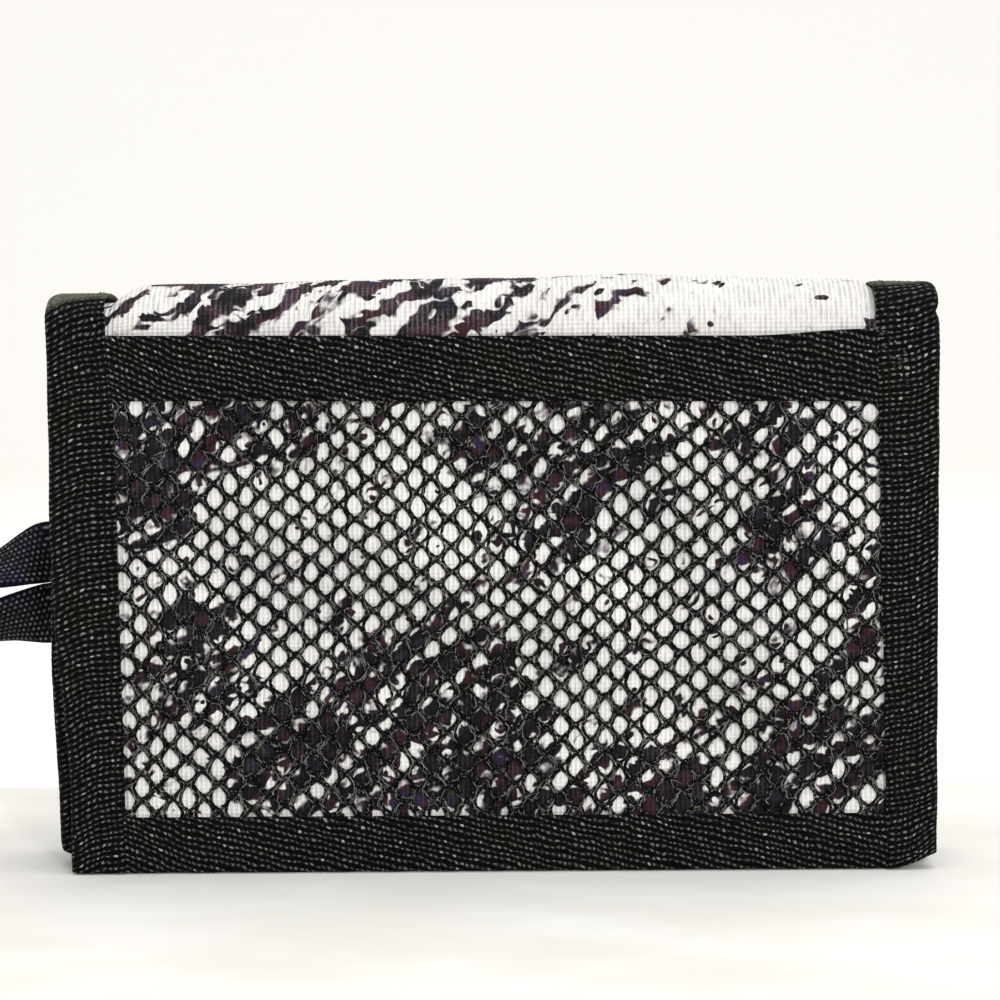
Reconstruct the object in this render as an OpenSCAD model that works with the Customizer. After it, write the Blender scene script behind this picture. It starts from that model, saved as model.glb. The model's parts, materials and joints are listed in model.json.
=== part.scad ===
// Trifold cloth wallet, closed and standing on its bottom fold, with its front flap facing -Y.
// The origin is the middle of the flat that it stands on. X is the width and Z is up.
// Three panels fold like a letter C: the back, the inner panel that is tucked in front of it,
// and the front flap that closes over both.

/* [Body] */
// Width of the panels across the side tapes
body_w = 128; // [110:1:140]
// Height of the closed wallet to the top of the canvas
body_h = 85; // [80:1:95]
// Height of the inner panel's free edge
inner_top = 63.7; // [55:0.1:63.7]
// How far the back panel's left edge leans out at the bottom
edge_lean = 3; // [0:0.5:4]

/* [Cloth and tape] */
// Width of a binding tape leg
tape_w = 9.3; // [7:0.1:10]
// Thickness of a tape leg, and of the hook and loop patches
tape_t = 0.65; // [0.5:0.05:0.7]
// Thickness of the printed canvas
canvas_t = 0.5; // [0.4:0.05:0.5]
// Thickness of the lining
lining_t = 0.4; // [0.3:0.05:0.4]
// Thickness of the board in the flap and in the inner panel
board_t = 0.8; // [0.6:0.05:0.8]
// Thickness of the mesh
mesh_t = 0.4; // [0.3:0.05:0.4]

/* [Pockets] */
// Height of the mesh pocket's mouth
mesh_top = 77.2; // [70:0.1:77.2]
// Step between the card pockets' mouths
pocket_step = 9; // [8:1:10]
// Height of the coin pocket's zip
zip_z = 63; // [55:1:66]
// Half the length of the zip
zip_half = 49; // [40:1:50]
// Depth of the coin pocket behind the back panel
coin_depth = 2.2; // [1.5:0.1:2.5]

/* [Lanyard loop] */
// Width of the loop's webbing
webbing_w = 9; // [8:0.5:9]
// Thickness of the loop's webbing
webbing_t = 1.2; // [1:0.1:1.4]
// Reach of the loop from the wallet's edge
loop_reach = 33; // [28:1:40]

/* [Hidden] */

canvas_colour = "gainsboro";
tape_colour = "#202022";
lining_colour = "#2a2a2e";
board_colour = "tan";
metal_colour = "silver";

ply_gap = 0.05;
fold_gap = 0.1;
half_w = body_w / 2;
inside_x = half_w - tape_w - 0.1;
cloth_x = half_w - tape_t - ply_gap;

// Front to back, each body's plies start at these depths.
flap_front = -11;
flap_mesh = flap_front + tape_t + ply_gap;
flap_canvas = flap_mesh + mesh_t + ply_gap;
flap_board_y = flap_canvas + canvas_t + ply_gap;
flap_lining_y = flap_board_y + board_t + ply_gap;
flap_inside = flap_lining_y + lining_t + ply_gap;
flap_back = flap_inside + tape_t;
inner_front = -6.9;
inner_canvas = inner_front + tape_t + ply_gap;
inner_board_y = inner_canvas + canvas_t + ply_gap;
inner_lining_y = inner_board_y + board_t + ply_gap;
inner_inside = inner_lining_y + lining_t + ply_gap;
window_t = 0.3;
inner_tape_y = inner_inside + window_t + ply_gap;
inner_back = inner_tape_y + tape_t;
back_front = -2.85;
card_t = 0.4;
card_pitch = 0.5;
back_lining_y = back_front + 3 * card_pitch + 0.1;
divider_y = 0.9;
back_board_y = 4;
back_board_t = 1;
back_canvas = back_board_y + back_board_t + ply_gap;
back_outer = back_canvas + canvas_t;
back_tape = back_outer + ply_gap + tape_t;

// The top fold is half a ring, and the bottom fold is flat where the wallet stands on it.
top_y = (flap_canvas + back_outer) / 2;
top_r = (back_outer - flap_canvas) / 2;
top_z = body_h - top_r;
flap_top = top_z - fold_gap;
bottom_z = 6;
bottom_corner = 4.5;
panel_foot = bottom_z + fold_gap;

coin_foot = 9;
coin_head = zip_z + 9;
coin_y = back_outer + coin_depth;
coin_cloth_t = 0.5;
zip_tape_w = 3.2;
teeth_half = 1.5;
teeth_split = 0.3;
teeth_y = coin_y - 0.35;
teeth_t = 1.2;
slider_x = 43;

loop_y = 2.6;
loop_z = 40.2;
loop_leg = webbing_w / 2 + 0.1;
loop_axis_x = -66.5;
loop_bulge = 3;
loop_rings = 72;
twist_reach = 16;

// A box between two corners, given as its X, Y and Z limits.
module slab(x, y, z) {
    translate([x[0], y[0], z[0]]) cube([x[1] - x[0], y[1] - y[0], z[1] - z[0]]);
}

// The left edge of the back and the inner panel at a height.
function left_edge(z) = -half_w - edge_lean * (1 - z / top_z);

// A ply whose left edge follows that edge, set in by an amount.
module leaning_ply(inset, right, y, z) {
    translate([0, y[1], 0]) rotate([90, 0, 0]) linear_extrude(y[1] - y[0])
        polygon([
            [left_edge(z[0]) + inset, z[0]], [right, z[0]],
            [right, z[1]], [left_edge(z[1]) + inset, z[1]],
        ]);
}

// An upright tape that runs along that edge, from one inset to another.
module leaning_strip(inset, y, z) {
    translate([0, y[1], 0]) rotate([90, 0, 0]) linear_extrude(y[1] - y[0])
        polygon([
            [left_edge(z[0]) + inset[0], z[0]], [left_edge(z[0]) + inset[1], z[0]],
            [left_edge(z[1]) + inset[1], z[1]], [left_edge(z[1]) + inset[0], z[1]],
        ]);
}

// A tape folded over the left edge, with a leg on each face.
module leaning_binding(y, z) {
    union() {
        leaning_strip([0, tape_w], [y[0], y[0] + tape_t], z);
        leaning_strip([0, tape_t], y, z);
        leaning_strip([0, tape_w], [y[1] - tape_t, y[1]], z);
    }
}

// Half a ring over the top, extruded along X.
module top_arc(x, centre, outer, inner) {
    translate([x[0], centre, top_z]) rotate([90, 0, 90]) linear_extrude(x[1] - x[0])
        difference() {
            circle(r = outer, $fn = 96);
            circle(r = inner, $fn = 96);
            translate([-outer - 1, -outer - 1]) square([2 * outer + 2, outer + 1]);
        }
}

// A small half ring below the panels' feet, extruded along X.
module lower_arc(x, centre, outer, inner) {
    translate([x[0], centre, bottom_z]) rotate([90, 0, 90]) linear_extrude(x[1] - x[0])
        difference() {
            circle(r = outer, $fn = 96);
            circle(r = inner, $fn = 96);
            translate([-outer - 1, 0]) square([2 * outer + 2, outer + 1]);
        }
}

// The outline of a trough with round corners, from one depth to another.
module trough(y, foot, corner) {
    translate([y[0] + corner, foot + corner]) circle(r = corner, $fn = 96);
    translate([y[1] - corner, foot + corner]) circle(r = corner, $fn = 96);
    translate([y[0] + corner, foot]) square([y[1] - y[0] - 2 * corner, bottom_z - foot]);
    translate([y[0], foot + corner]) square([y[1] - y[0], bottom_z - foot - corner]);
}

// Cloth of one thickness along that trough, extruded along X.
module trough_arc(x, y, thick) {
    translate([x[0], 0, 0]) rotate([90, 0, 90]) linear_extrude(x[1] - x[0])
        difference() {
            trough(y, 0, bottom_corner);
            trough([y[0] + thick, y[1] - thick], thick, bottom_corner - thick);
            translate([y[0] - 1, bottom_z]) square([y[1] - y[0] + 2, bottom_corner]);
        }
}

// Back panel
module back_shell() {
    color(canvas_colour)
        leaning_ply(tape_t + ply_gap, cloth_x, [back_canvas, back_outer], [panel_foot, flap_top]);
}

module back_board() {
    color(board_colour)
        leaning_ply(2, cloth_x - 1.5, [back_board_y, back_board_y + back_board_t],
                    [panel_foot + 1, flap_top - 1]);
}

module back_lining() {
    color(lining_colour)
        leaning_ply(tape_t + ply_gap, cloth_x,
                    [back_lining_y, back_lining_y + lining_t], [panel_foot, flap_top]);
}

module bill_divider() {
    color(lining_colour)
        slab([-inside_x, cloth_x - 3], [divider_y, divider_y + card_t], [panel_foot, flap_top - 6]);
}

// Card pockets are counted from the one whose mouth is highest, which lies furthest back.
function pocket_y(i) = back_front + (2 - i) * card_pitch;
function pocket_mouth(i) = 64 - i * pocket_step;
card_edge_w = 4;

module card_pocket(i) {
    color(lining_colour)
        slab([-inside_x, inside_x], [pocket_y(i), pocket_y(i) + card_t],
             [panel_foot, pocket_mouth(i) - card_edge_w - ply_gap]);
}

module card_edge(i) {
    color(tape_colour)
        slab([-inside_x, inside_x], [pocket_y(i), pocket_y(i) + card_t],
             [pocket_mouth(i) - card_edge_w, pocket_mouth(i)]);
}

module card_pocket_top() { card_pocket(0); }
module card_pocket_middle() { card_pocket(1); }
module card_pocket_bottom() { card_pocket(2); }
module card_edge_top() { card_edge(0); }
module card_edge_middle() { card_edge(1); }
module card_edge_bottom() { card_edge(2); }

// The left tape closes the bill compartment, and it has a slit where the loop's ends go in.
module back_binding_left() {
    color(tape_colour) difference() {
        leaning_binding([back_front, back_tape], [panel_foot, flap_top]);
        slab([-half_w - 8, -half_w + 3],
             [loop_y - webbing_t / 2 - 0.1, loop_y + webbing_t / 2 + 0.1],
             [loop_z - loop_leg - webbing_w / 2 - 0.3, loop_z + loop_leg + webbing_w / 2 + 0.3]);
    }
}

// On the right, the shell and the lining have a tape each, and bills go in between them.
module back_binding_right() {
    color(tape_colour) union() {
        slab([half_w - tape_t, half_w], [back_board_y, back_tape], [panel_foot, flap_top]);
        slab([half_w - tape_w, half_w], [back_tape - tape_t, back_tape], [panel_foot, flap_top]);
    }
}

module back_lining_binding_right() {
    color(tape_colour) union() {
        slab([half_w - tape_t, half_w], [back_front, back_lining_y + lining_t], [panel_foot, flap_top]);
        slab([half_w - tape_w, half_w], [back_front, back_front + tape_t], [panel_foot, flap_top]);
    }
}

// Coin pocket on the back, with its zip
module coin_pocket_panel() {
    color(canvas_colour)
        slab([-zip_half - 2, zip_half + 2], [coin_y, coin_y + coin_cloth_t],
             [coin_foot + 0.1, zip_z - zip_tape_w - ply_gap]);
}

module coin_pocket_top_strip() {
    color(canvas_colour)
        slab([-zip_half - 2, zip_half + 2], [coin_y, coin_y + coin_cloth_t],
             [zip_z + zip_tape_w + ply_gap, coin_head - 0.1]);
}

// The pocket's edge tape is a frame that holds it off the shell by its depth.
module coin_pocket_binding() {
    edge = 3;
    half = zip_half + 2.1;
    color(tape_colour) difference() {
        slab([-half - edge, half + edge], [back_outer + ply_gap, coin_y + coin_cloth_t + 0.1],
             [coin_foot - edge, coin_head + edge]);
        slab([-half, half], [0, coin_y + 5], [coin_foot, coin_head]);
    }
}

module zip_tape(z) {
    color(tape_colour) slab([-zip_half - 2, zip_half + 2], [coin_y, coin_y + card_t], z);
}

module zip_tape_lower() { zip_tape([zip_z - zip_tape_w, zip_z - teeth_half - ply_gap]); }
module zip_tape_upper() { zip_tape([zip_z + teeth_half + ply_gap, zip_z + zip_tape_w]); }

module zip_teeth(z) {
    color(tape_colour) slab([-zip_half, zip_half], [teeth_y, teeth_y + teeth_t], z);
}

module zip_teeth_lower() { zip_teeth([zip_z - teeth_half, zip_z - teeth_split]); }
module zip_teeth_upper() { zip_teeth([zip_z + teeth_split, zip_z + teeth_half]); }

// A stop closes each end of the teeth.
module zip_stops() {
    color(metal_colour) for (side = [-1, 1])
        translate([side * (zip_half + 1), 0, 0])
            slab([-0.9, 0.9], [teeth_y, teeth_y + teeth_t], [zip_z - 1.4, zip_z + 1.4]);
}

// The loop's two ends are sewn in between the lining and the board.
module loop_tails() {
    color(tape_colour) for (side = [-1, 1])
        translate([0, 0, loop_z + side * loop_leg])
            slab([loop_axis_x + 0.7, -half_w + 7],
                 [loop_y - webbing_t / 2, loop_y + webbing_t / 2], [-webbing_w / 2, webbing_w / 2]);
}

// Top fold, between the back and the flap
lining_centre_top = (flap_lining_y + back_lining_y + lining_t) / 2;
lining_r_top = (back_lining_y + lining_t - flap_lining_y) / 2;

module top_fold_shell() {
    color(canvas_colour) top_arc([-inside_x, inside_x], top_y, top_r, top_r - canvas_t);
}

module top_fold_lining() {
    color(lining_colour)
        top_arc([-inside_x, inside_x], lining_centre_top, lining_r_top, lining_r_top - lining_t);
}

module top_fold_binding_left() {
    color(tape_colour) top_arc([-half_w, -half_w + tape_w], top_y, top_r + 0.3, top_r - 2);
}

module top_fold_binding_right() {
    color(tape_colour) top_arc([half_w - tape_w, half_w], top_y, top_r + 0.3, top_r - 1.1);
}

module top_fold_lining_binding_right() {
    color(tape_colour)
        top_arc([half_w - tape_w, half_w], lining_centre_top, lining_r_top + 0.1, lining_r_top - 0.8);
}

// Bottom fold, between the back and the inner panel
lining_centre_low = (inner_lining_y + back_lining_y + lining_t) / 2;
lining_r_low = (back_lining_y + lining_t - inner_lining_y) / 2;

module bottom_fold_shell() {
    color(canvas_colour) trough_arc([-inside_x, inside_x], [inner_canvas, back_outer], canvas_t);
}

module bottom_fold_lining() {
    color(lining_colour)
        lower_arc([-inside_x, inside_x], lining_centre_low, lining_r_low, lining_r_low - lining_t);
}

module bottom_fold_binding_left() {
    color(tape_colour)
        trough_arc([-half_w - edge_lean, -inside_x - 0.1], [inner_front, back_tape], 1.8);
}

module bottom_fold_binding_right() {
    color(tape_colour)
        trough_arc([half_w - tape_w, half_w], [inner_front, back_tape], 1.2);
}

module bottom_fold_lining_binding_right() {
    color(tape_colour)
        lower_arc([half_w - tape_w, half_w], lining_centre_low, lining_r_low + 0.3, lining_r_low - 0.8);
}

// Front flap
module flap_shell() {
    color(canvas_colour)
        slab([-cloth_x, cloth_x], [flap_canvas, flap_canvas + canvas_t], [tape_t + ply_gap, flap_top]);
}

module flap_board() {
    color(board_colour)
        slab([-cloth_x + 1, cloth_x - 1], [flap_board_y, flap_board_y + board_t], [2, flap_top - 3]);
}

module flap_lining() {
    color(lining_colour)
        slab([-cloth_x, cloth_x], [flap_lining_y, flap_lining_y + lining_t],
             [tape_t + ply_gap, flap_top]);
}

// The mesh is a flat net here, and its pocket's mouth is at the top, under the hem tape.
module mesh_panel() {
    color(tape_colour)
        slab([-cloth_x, cloth_x], [flap_mesh, flap_mesh + mesh_t], [tape_t + ply_gap, mesh_top - 0.5]);
}

module mesh_hem_tape() {
    color(tape_colour)
        slab([-inside_x, inside_x], [flap_front, flap_front + tape_t], [mesh_top - tape_w, mesh_top]);
}

bottom_tape_h = 8.3;

module flap_binding_bottom() {
    color(tape_colour) union() {
        slab([-inside_x, inside_x], [flap_front, flap_front + tape_t], [0, bottom_tape_h]);
        slab([-inside_x, inside_x], [flap_front, flap_back], [0, tape_t]);
        slab([-inside_x, inside_x], [flap_inside, flap_back], [0, bottom_tape_h]);
    }
}

module flap_binding_left() {
    color(tape_colour) union() {
        slab([-half_w, -half_w + tape_w], [flap_front, flap_front + tape_t], [0, flap_top]);
        slab([-half_w, -half_w + tape_t], [flap_front, flap_back], [0, flap_top]);
        slab([-half_w, -half_w + tape_w], [flap_inside, flap_back], [0, flap_top]);
    }
}

// The right tape's lower corner is cut off at a slant.
corner_run = 6.5;
corner_rise = 2.6;

module corner_cut() {
    translate([0, flap_back + 1, 0]) rotate([90, 0, 0]) linear_extrude(flap_back - flap_front + 2)
        polygon([
            [half_w - corner_run, -1], [half_w - corner_run, 0], [half_w + 1, corner_rise + 0.4],
            [half_w + 1, -1],
        ]);
}

module flap_binding_right() {
    color(tape_colour) difference() {
        union() {
            slab([half_w - tape_w, half_w], [flap_front, flap_front + tape_t], [0, flap_top]);
            slab([half_w - tape_t, half_w], [flap_front, flap_board_y + board_t], [0, flap_top]);
        }
        corner_cut();
    }
}

module flap_lining_binding_right() {
    color(tape_colour) difference() {
        union() {
            slab([half_w - tape_t, half_w], [flap_lining_y, flap_back], [0, flap_top]);
            slab([half_w - tape_w, half_w], [flap_inside, flap_back], [0, flap_top]);
        }
        corner_cut();
    }
}

// Hook patch inside the flap, and the loop patch that it grips on the inner panel
patch_w = 70;
patch_h = 19;
patch_foot = 10;

module hook_patch() {
    color(tape_colour)
        slab([-patch_w / 2, patch_w / 2], [flap_inside, flap_back], [patch_foot, patch_foot + patch_h]);
}

module loop_patch() {
    color(tape_colour)
        slab([-patch_w / 2, patch_w / 2], [inner_front, inner_front + tape_t],
             [patch_foot, patch_foot + patch_h]);
}

// Inner panel
module inner_shell() {
    color(canvas_colour)
        leaning_ply(tape_t + ply_gap, cloth_x, [inner_canvas, inner_canvas + canvas_t],
                    [panel_foot, inner_top - tape_t - ply_gap]);
}

module inner_board() {
    color(board_colour)
        leaning_ply(2, cloth_x - 1.5, [inner_board_y, inner_board_y + board_t],
                    [panel_foot + 1, inner_top - 2]);
}

module inner_lining() {
    color(lining_colour)
        leaning_ply(tape_t + ply_gap, cloth_x, [inner_lining_y, inner_lining_y + lining_t],
                    [panel_foot, inner_top - tape_t - ply_gap]);
}

module inner_binding_left() {
    color(tape_colour) leaning_binding([inner_front, inner_back], [panel_foot, inner_top]);
}

module inner_binding_right() {
    color(tape_colour) union() {
        slab([half_w - tape_t, half_w], [inner_front, inner_board_y + board_t], [panel_foot, inner_top]);
        slab([half_w - tape_w, half_w], [inner_front, inner_front + tape_t], [panel_foot, inner_top]);
    }
}

module inner_lining_binding_right() {
    color(tape_colour) union() {
        slab([half_w - tape_t, half_w], [inner_lining_y, inner_back], [panel_foot, inner_top]);
        slab([half_w - tape_w, half_w], [inner_tape_y, inner_back], [panel_foot, inner_top]);
    }
}

end_tape_h = 7;

module inner_binding_end() {
    z = [inner_top - end_tape_h, inner_top];
    color(tape_colour) union() {
        slab([-inside_x, inside_x], [inner_front, inner_front + tape_t], z);
        slab([-inside_x, inside_x], [inner_front, inner_back], [inner_top - tape_t, inner_top]);
        slab([-inside_x, inside_x], [inner_tape_y, inner_back], z);
    }
}

// Clear window for a card, on the face of the inner panel that is hidden when closed.
// Its upper edge is caught under the end tape.
window_w = 94;
window_foot = panel_foot + 0.2;
window_edge = 4;

module id_window() {
    color("lightblue", 0.4)
        slab([-window_w / 2, window_w / 2], [inner_inside, inner_inside + window_t],
             [window_foot, inner_top - tape_t - ply_gap]);
}

module id_window_frame() {
    color(tape_colour) difference() {
        slab([-window_w / 2, window_w / 2], [inner_tape_y, inner_back],
             [window_foot, inner_top - end_tape_h - ply_gap]);
        slab([-window_w / 2 + window_edge, window_w / 2 - window_edge], [inner_inside, inner_back + 1],
             [window_foot + window_edge, inner_top]);
    }
}

// Lanyard loop: a flat band that leaves the edge upright, turns a quarter round along each leg,
// and sags as it goes round its far end. a runs from 0 at the upper leg to 180 at the lower one.
function sag(x) = 0.2 * x + 0.006 * x * x;
function loop_point(a) = let (x = loop_reach * sin(a))
    [loop_axis_x - x, loop_y, loop_z + loop_leg * cos(a) + loop_bulge * sin(2 * a) - sag(x)];
function unit(v) = v / norm(v);
function loop_along(a) = unit(loop_point(min(a + 1, 180)) - loop_point(max(a - 1, 0)));
function ease(u) = u * u * (3 - 2 * u);
function loop_twist(a) = 90 * ease(min(1, loop_reach * sin(a) / twist_reach));
function loop_outward(a) = let (t = a <= 0 || a >= 180 ? [a <= 0 ? -1 : 1, 0, 0] : loop_along(a))
    [t[2], 0, -t[0]];
function loop_across(a) = cos(loop_twist(a)) * loop_outward(a) + [0, sin(loop_twist(a)), 0];
function loop_normal(a) = [0, cos(loop_twist(a)), 0] - sin(loop_twist(a)) * loop_outward(a);
function loop_ring(a) = [for (c = [[-1, -1], [1, -1], [1, 1], [-1, 1]])
    loop_point(a) + c[0] * webbing_w / 2 * loop_across(a) + c[1] * webbing_t / 2 * loop_normal(a)];

module lanyard_loop() {
    points = [for (i = [0:loop_rings]) each loop_ring(180 * i / loop_rings)];
    sides = [for (i = [0:loop_rings - 1], k = [0:3])
        let (a = 4 * i + k, b = 4 * i + (k + 1) % 4)
            each [[a, b, b + 4], [a, b + 4, a + 4]]];
    last = 4 * loop_rings;
    ends = [[3, 2, 1, 0], [last, last + 1, last + 2, last + 3]];
    color(tape_colour) polyhedron(points, concat(sides, ends), convexity = 6);
}

// Zip slider: two plates round the teeth, joined by a post between the rows, with a bail for the pull
plate_t = 0.7;
plate_half_x = 4;
plate_half_z = 3;
slider_clear = 0.15;
post_half = 0.18;
bail_y = teeth_y + teeth_t + slider_clear + plate_t + 1.1;

module zip_slider() {
    outer = teeth_y + teeth_t + slider_clear;
    inner = teeth_y - slider_clear - plate_t;
    color(metal_colour) translate([slider_x, 0, zip_z]) union() {
        slab([-plate_half_x, plate_half_x], [outer, outer + plate_t], [-plate_half_z, plate_half_z]);
        slab([-plate_half_x, plate_half_x], [inner, inner + plate_t], [-plate_half_z, plate_half_z]);
        slab([-1.5, 1.5], [inner, outer + plate_t], [-post_half, post_half]);
        for (side = [-1, 1])
            slab([side * 1.6 - 0.45, side * 1.6 + 0.45], [outer + plate_t / 2, bail_y + 0.5], [-0.6, 0.6]);
        translate([-1.6, bail_y, 0]) rotate([0, 90, 0]) cylinder(h = 3.2, r = 0.4, $fn = 32);
    }
}

// Pull: a flat tab with an eye round the bail, hanging down
pull_length = 19;
pull_half_w = 2.6;
pull_t = 0.9;

module zip_pull() {
    color(metal_colour) translate([slider_x, bail_y, zip_z]) difference() {
        union() {
            translate([-0.9, 0, 0]) rotate([0, 90, 0]) cylinder(h = 1.8, r = 0.95, $fn = 48);
            slab([-0.9, 0.9], [-pull_t / 2, pull_t / 2], [-4, 0]);
            slab([-pull_half_w, pull_half_w], [-pull_t / 2, pull_t / 2],
                 [-pull_length + pull_half_w, -3.6]);
            translate([0, pull_t / 2, -pull_length + pull_half_w]) rotate([90, 0, 0])
                cylinder(h = pull_t, r = pull_half_w, $fn = 64);
        }
        translate([-2, 0, 0]) rotate([0, 90, 0]) cylinder(h = 4, r = 0.46, $fn = 32);
        translate([0, 2, -pull_length + pull_half_w]) rotate([90, 0, 0])
            cylinder(h = 4, r = 1.2, $fn = 48);
    }
}

back_shell();
back_board();
back_lining();
bill_divider();
card_pocket_top();
card_pocket_middle();
card_pocket_bottom();
card_edge_top();
card_edge_middle();
card_edge_bottom();
back_binding_left();
back_binding_right();
back_lining_binding_right();
coin_pocket_panel();
coin_pocket_top_strip();
coin_pocket_binding();
zip_tape_lower();
zip_tape_upper();
zip_teeth_lower();
zip_teeth_upper();
zip_stops();
loop_tails();
top_fold_shell();
top_fold_lining();
top_fold_binding_left();
top_fold_binding_right();
top_fold_lining_binding_right();
bottom_fold_shell();
bottom_fold_lining();
bottom_fold_binding_left();
bottom_fold_binding_right();
bottom_fold_lining_binding_right();
flap_shell();
flap_board();
flap_lining();
mesh_panel();
mesh_hem_tape();
flap_binding_bottom();
flap_binding_left();
flap_binding_right();
flap_lining_binding_right();
hook_patch();
inner_shell();
inner_board();
inner_lining();
loop_patch();
inner_binding_left();
inner_binding_right();
inner_lining_binding_right();
inner_binding_end();
id_window();
id_window_frame();
lanyard_loop();
zip_slider();
zip_pull();
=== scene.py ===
"""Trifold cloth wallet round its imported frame: printed canvas, black binding tape and a net pocket.

Lengths are millimetres until a mesh is made. X is the width, -Y the front and +Z up.
"""

import json
import math

import bpy
import numpy as np
from mathutils import Matrix, Vector


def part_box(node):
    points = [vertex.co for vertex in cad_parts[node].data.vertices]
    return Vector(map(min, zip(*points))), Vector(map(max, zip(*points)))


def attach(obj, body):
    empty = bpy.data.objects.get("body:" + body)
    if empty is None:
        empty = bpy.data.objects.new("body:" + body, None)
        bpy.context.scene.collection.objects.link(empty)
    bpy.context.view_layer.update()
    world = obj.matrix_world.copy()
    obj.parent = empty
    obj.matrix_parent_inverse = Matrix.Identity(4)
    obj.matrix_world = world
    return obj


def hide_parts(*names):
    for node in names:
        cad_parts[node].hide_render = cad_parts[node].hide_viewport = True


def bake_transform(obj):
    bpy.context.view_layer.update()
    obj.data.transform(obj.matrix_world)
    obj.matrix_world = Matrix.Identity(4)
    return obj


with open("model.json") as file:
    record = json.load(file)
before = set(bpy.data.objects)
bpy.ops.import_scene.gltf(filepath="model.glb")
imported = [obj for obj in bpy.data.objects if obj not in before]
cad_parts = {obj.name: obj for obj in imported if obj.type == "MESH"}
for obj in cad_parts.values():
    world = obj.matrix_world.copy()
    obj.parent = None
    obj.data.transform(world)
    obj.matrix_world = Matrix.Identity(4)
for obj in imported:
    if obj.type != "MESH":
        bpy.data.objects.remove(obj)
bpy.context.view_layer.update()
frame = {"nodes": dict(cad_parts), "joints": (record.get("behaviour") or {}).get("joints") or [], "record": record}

MM = 0.001
TURN = 2 * math.pi
RANDOM = np.random.default_rng(11)


# ---------------------------------------------------------------- sizes from the frame


def corners(node):
    """Lowest and highest corner of a CAD node, in millimetres."""
    low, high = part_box(node)
    return np.array(low) / MM, np.array(high) / MM


def middle(node, axis=1):
    low, high = corners(node)
    return (low[axis] + high[axis]) / 2


def face_size(node):
    """A CAD node's width and height, in metres."""
    low, high = corners(node)
    return (high[0] - low[0]) * MM, (high[2] - low[2]) * MM


HEM_LOW, HEM_HIGH = corners("mesh_hem_tape")
TAPE_T = HEM_HIGH[1] - HEM_LOW[1]
HALF_W = corners("flap_binding_right")[1][0]
INSIDE_X = HEM_HIGH[0]
TOP_Z = corners("flap_binding_left")[1][2] + 0.1
SHELL_TOP = corners("top_fold_shell")[1][2]
FOOT_Z = corners("bottom_fold_shell")[1][2]
SEAM_Z = 40.0
CANVAS_T = 0.5
LINING_T = 0.4
# How far a stitch's thread stands over a tape's face
STITCH_LIFT = 0.09
CANVAS_RISE = SHELL_TOP - TOP_Z - CANVAS_T / 2 + 0.3
# How far the shell's edge stays inside the tape's
SHELL_INSET = 0.9


def layers(panel, binding):
    """Middle Y of a panel's front tape leg, canvas, lining and rear tape leg."""
    low, high = corners(binding)
    return {"tape": low[1] + TAPE_T / 2, "canvas": middle(panel + "_shell"),
            "lining": middle(panel + "_lining"), "inside": high[1] - TAPE_T / 2}


FLAP = layers("flap", "flap_binding_left")
INNER = layers("inner", "inner_binding_left")
# The back's outside faces +Y, and its two legs are nodes of their own
BACK = layers("back", "back_binding_right")
BACK["tape"] = corners("back_binding_right")[1][1] - TAPE_T / 2
BACK["inside"] = corners("back_lining_binding_right")[0][1] + TAPE_T / 2
INNER_TOP = corners("inner_binding_left")[1][2]
NET_Y = middle("mesh_panel")

# The outline in X by height: the flap leans in at its lower left, and the back peeps out beside it
FLAP_LEFT = ((0, -61.4), (16, -61.45), (24.5, -62.2), (32, -63.0), (48, -63.55), (67, -63.35),
             (77, -63.45), (83, -63.65))
BACK_LEFT = ((0, -63.7), (14, -64.0), (23, -64.45), (31, -64.6), (45, -64.3), (60, -63.8),
             (77, -63.45), (83, -63.65))
FLAP_LEFT_INNER = ((8, -53.7), (67, -54.25), (77, -55.2), (80.5, -55.0), (82.4, -55.7))
BACK_LEFT_INNER = ((0, -55.3), (77, -55.2), (80.5, -55.0), (82.4, -55.7))
FLAP_RIGHT_INNER = ((8, 55.8), (67, 54.5), (78.6, 54.0), (84.4, 54.1))
BACK_RIGHT_INNER = ((0, 54.9), (70, 54.6), (78.6, 54.0), (84.4, 54.1))
# The top fold's height across the width, as a share
FOLD_CROWN = ((-55, 0.945), (-41, 0.94), (-30, 0.97), (-18, 1.02), (0, 1.045), (20, 1.06),
              (32, 1.02), (42, 0.98), (50, 0.955))


def smooth(value):
    """Smoothstep of a value that is cut to 0..1."""
    value = np.clip(value, 0, 1)
    return value * value * (3 - 2 * value)


def waves(u, v, scale, seed):
    """Smooth unevenness between about -1 and 1, the same on every run."""
    draw = np.random.default_rng(seed)
    total = 0
    for _ in range(5):
        turn, phase = draw.uniform(0, TURN, 2)
        rate = TURN * draw.uniform(0.6, 1.5) / scale
        total = total + np.sin(rate * (u * math.cos(turn) + v * math.sin(turn)) + phase)
    return total / 3


# ---------------------------------------------------------------- meshes


def unit(vectors):
    return vectors / np.maximum(np.linalg.norm(vectors, axis=-1, keepdims=True), 1e-9)


def stack(*parts):
    """Broadcasts the parts and stacks them along a new last axis: points of three, or UVs of two."""
    return np.stack(np.broadcast_arrays(*parts), -1)


def grid_normals(grid):
    return unit(np.cross(np.gradient(grid, axis=0), np.gradient(grid, axis=1)))


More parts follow.
